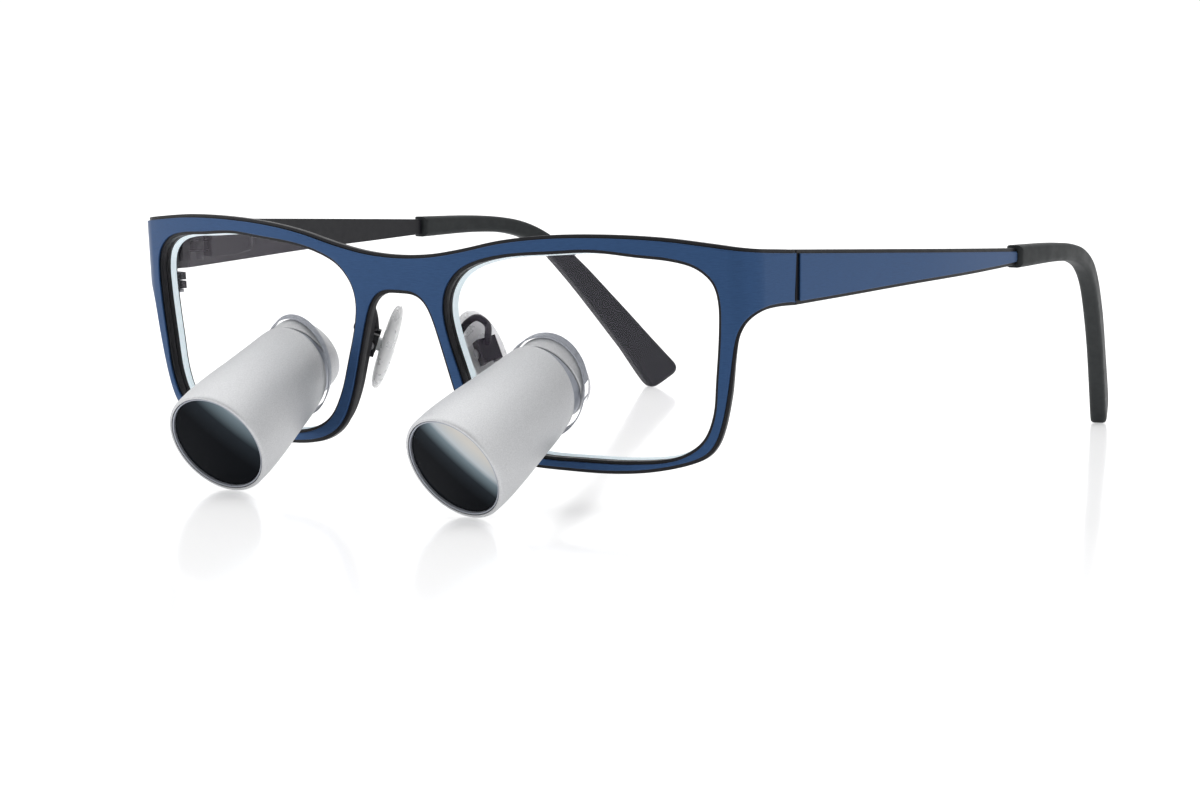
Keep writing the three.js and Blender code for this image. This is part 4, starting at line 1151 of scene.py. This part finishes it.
def temple_tips():
    outline = np.vstack([
        relax(spline(SLEEVE_TOP, 200), 0.6, 1.2)[:-1],
        relax(spline([SLEEVE_TOP[-1], *SLEEVE_END, SLEEVE_BOTTOM[0]], 60), 0.4, 0.3)[:-1],
        relax(spline(SLEEVE_BOTTOM, 160), 0.6, 1.2),
    ])
    middle = (SHEET_FACE + SHEET_BACK) / 2
    half = SLEEVE_THICKNESS / 2
    stations = list(between(SLEEVE_START + 1.5, 157, 1.6))
    body = plate(outline, [], middle - half, middle + half, 0.8, on_temple, stations)
    for name, side in SIDES:
        made = Shape().add(*body)
        piece(f"temple_tip_{name}", made, f"temple_{name}", "black_plastic", [PLASTIC], side)


front_sheet()
front_facing()
eyewires()
eyewire_screws()
telescopes()
carrier_lenses()
nose_pads()
hinge_fronts()
hinge_sliders()
hinge_housings()
hinge_screws()
temples()
temple_tips()

# ---- Stage, light and camera --------------------


def floor():
    made = look("floor", (0.8, 0.8, 0.805), 0.12, Emission_Color=(1, 1, 1, 1), Emission_Strength=0.35)
    vary(made, "Roughness", texture(made, 60, 2), 0.09, 0.13)
    mesh = bpy.data.meshes.new("floor")
    reach = 6.0  # metres
    corners = [(-reach, -reach, 0), (reach, -reach, 0), (reach, reach, 0), (-reach, reach, 0)]
    mesh.from_pydata(corners, [], [(0, 1, 2, 3)])
    mesh.materials.append(made)
    thing = bpy.data.objects.new("floor", mesh)
    bpy.context.scene.collection.objects.link(thing)


def world():
    """Bright behind the object and overhead, softer on the viewer's side."""
    made = bpy.data.worlds.new("studio")
    bpy.context.scene.world = made
    made.use_nodes = True
    nodes, links = made.node_tree.nodes, made.node_tree.links
    where = nodes.new("ShaderNodeTexCoord")
    toward = nodes.new("ShaderNodeVectorMath")
    toward.operation = "DOT_PRODUCT"
    toward.inputs[1].default_value = (-0.45, 0.75, 0.5)
    ramp = nodes.new("ShaderNodeMapRange")
    ramp.inputs["From Min"].default_value = -0.9
    ramp.inputs["From Max"].default_value = 0.3
    ramp.inputs["To Min"].default_value = 0.18
    ramp.inputs["To Max"].default_value = 1.02
    links.new(where.outputs["Generated"], toward.inputs[0])
    links.new(toward.outputs["Value"], ramp.inputs["Value"])
    links.new(ramp.outputs["Result"], nodes["Background"].inputs["Strength"])
    nodes["Background"].inputs["Color"].default_value = (1, 1, 1, 1)


def softbox(name, where, target, size, power):
    light = bpy.data.lights.new(name, "AREA")
    light.shape = "RECTANGLE"
    light.size, light.size_y = size
    light.energy = power
    thing = bpy.data.objects.new(name, light)
    bpy.context.scene.collection.objects.link(thing)
    thing.location = where
    thing.rotation_euler = (Vector(target) - Vector(where)).to_track_quat("-Z", "Y").to_euler()


# The eye's place is in the drawing frame, in millimetres; the angles are in radians.
CAMERA_PLACE = (362.3362, -440.1522, 60.2793)
CAMERA_TURN, CAMERA_RISE, CAMERA_ROLL = 0.6286, 0.1214, -0.0029
FOCAL_LENGTH = 99.765


def camera():
    turn, rise, roll = CAMERA_TURN, CAMERA_RISE, CAMERA_ROLL
    data = bpy.data.cameras.new("camera")
    data.sensor_width = 36
    data.lens = FOCAL_LENGTH
    data.clip_start = 0.01
    data.clip_end = 60
    thing = bpy.data.objects.new("camera", data)
    bpy.context.scene.collection.objects.link(thing)
    ahead = Vector((-math.sin(turn) * math.cos(rise), math.cos(turn) * math.cos(rise), -math.sin(rise)))
    across = Vector((math.cos(turn), math.sin(turn), 0))
    up = across.cross(ahead)
    matrix = Matrix((across, up, -ahead)).transposed() @ Matrix.Rotation(roll, 3, "Z")
    thing.matrix_world = Matrix.Translation(Vector(place(CAMERA_PLACE))) @ matrix.to_4x4()
    bpy.context.scene.camera = thing


floor()
world()
softbox("overhead", (-0.1, 0.1, 0.9), (0, 0, 0), (1.2, 1.2), 3)
softbox("left", (-0.75, -0.55, 0.5), (0, -0.05, 0.02), (0.6, 0.8), 2)
softbox("right", (0.85, -0.25, 0.45), (0, -0.05, 0.02), (0.5, 0.7), 0.8)
camera()
bpy.context.scene.view_settings.view_transform = "Standard"
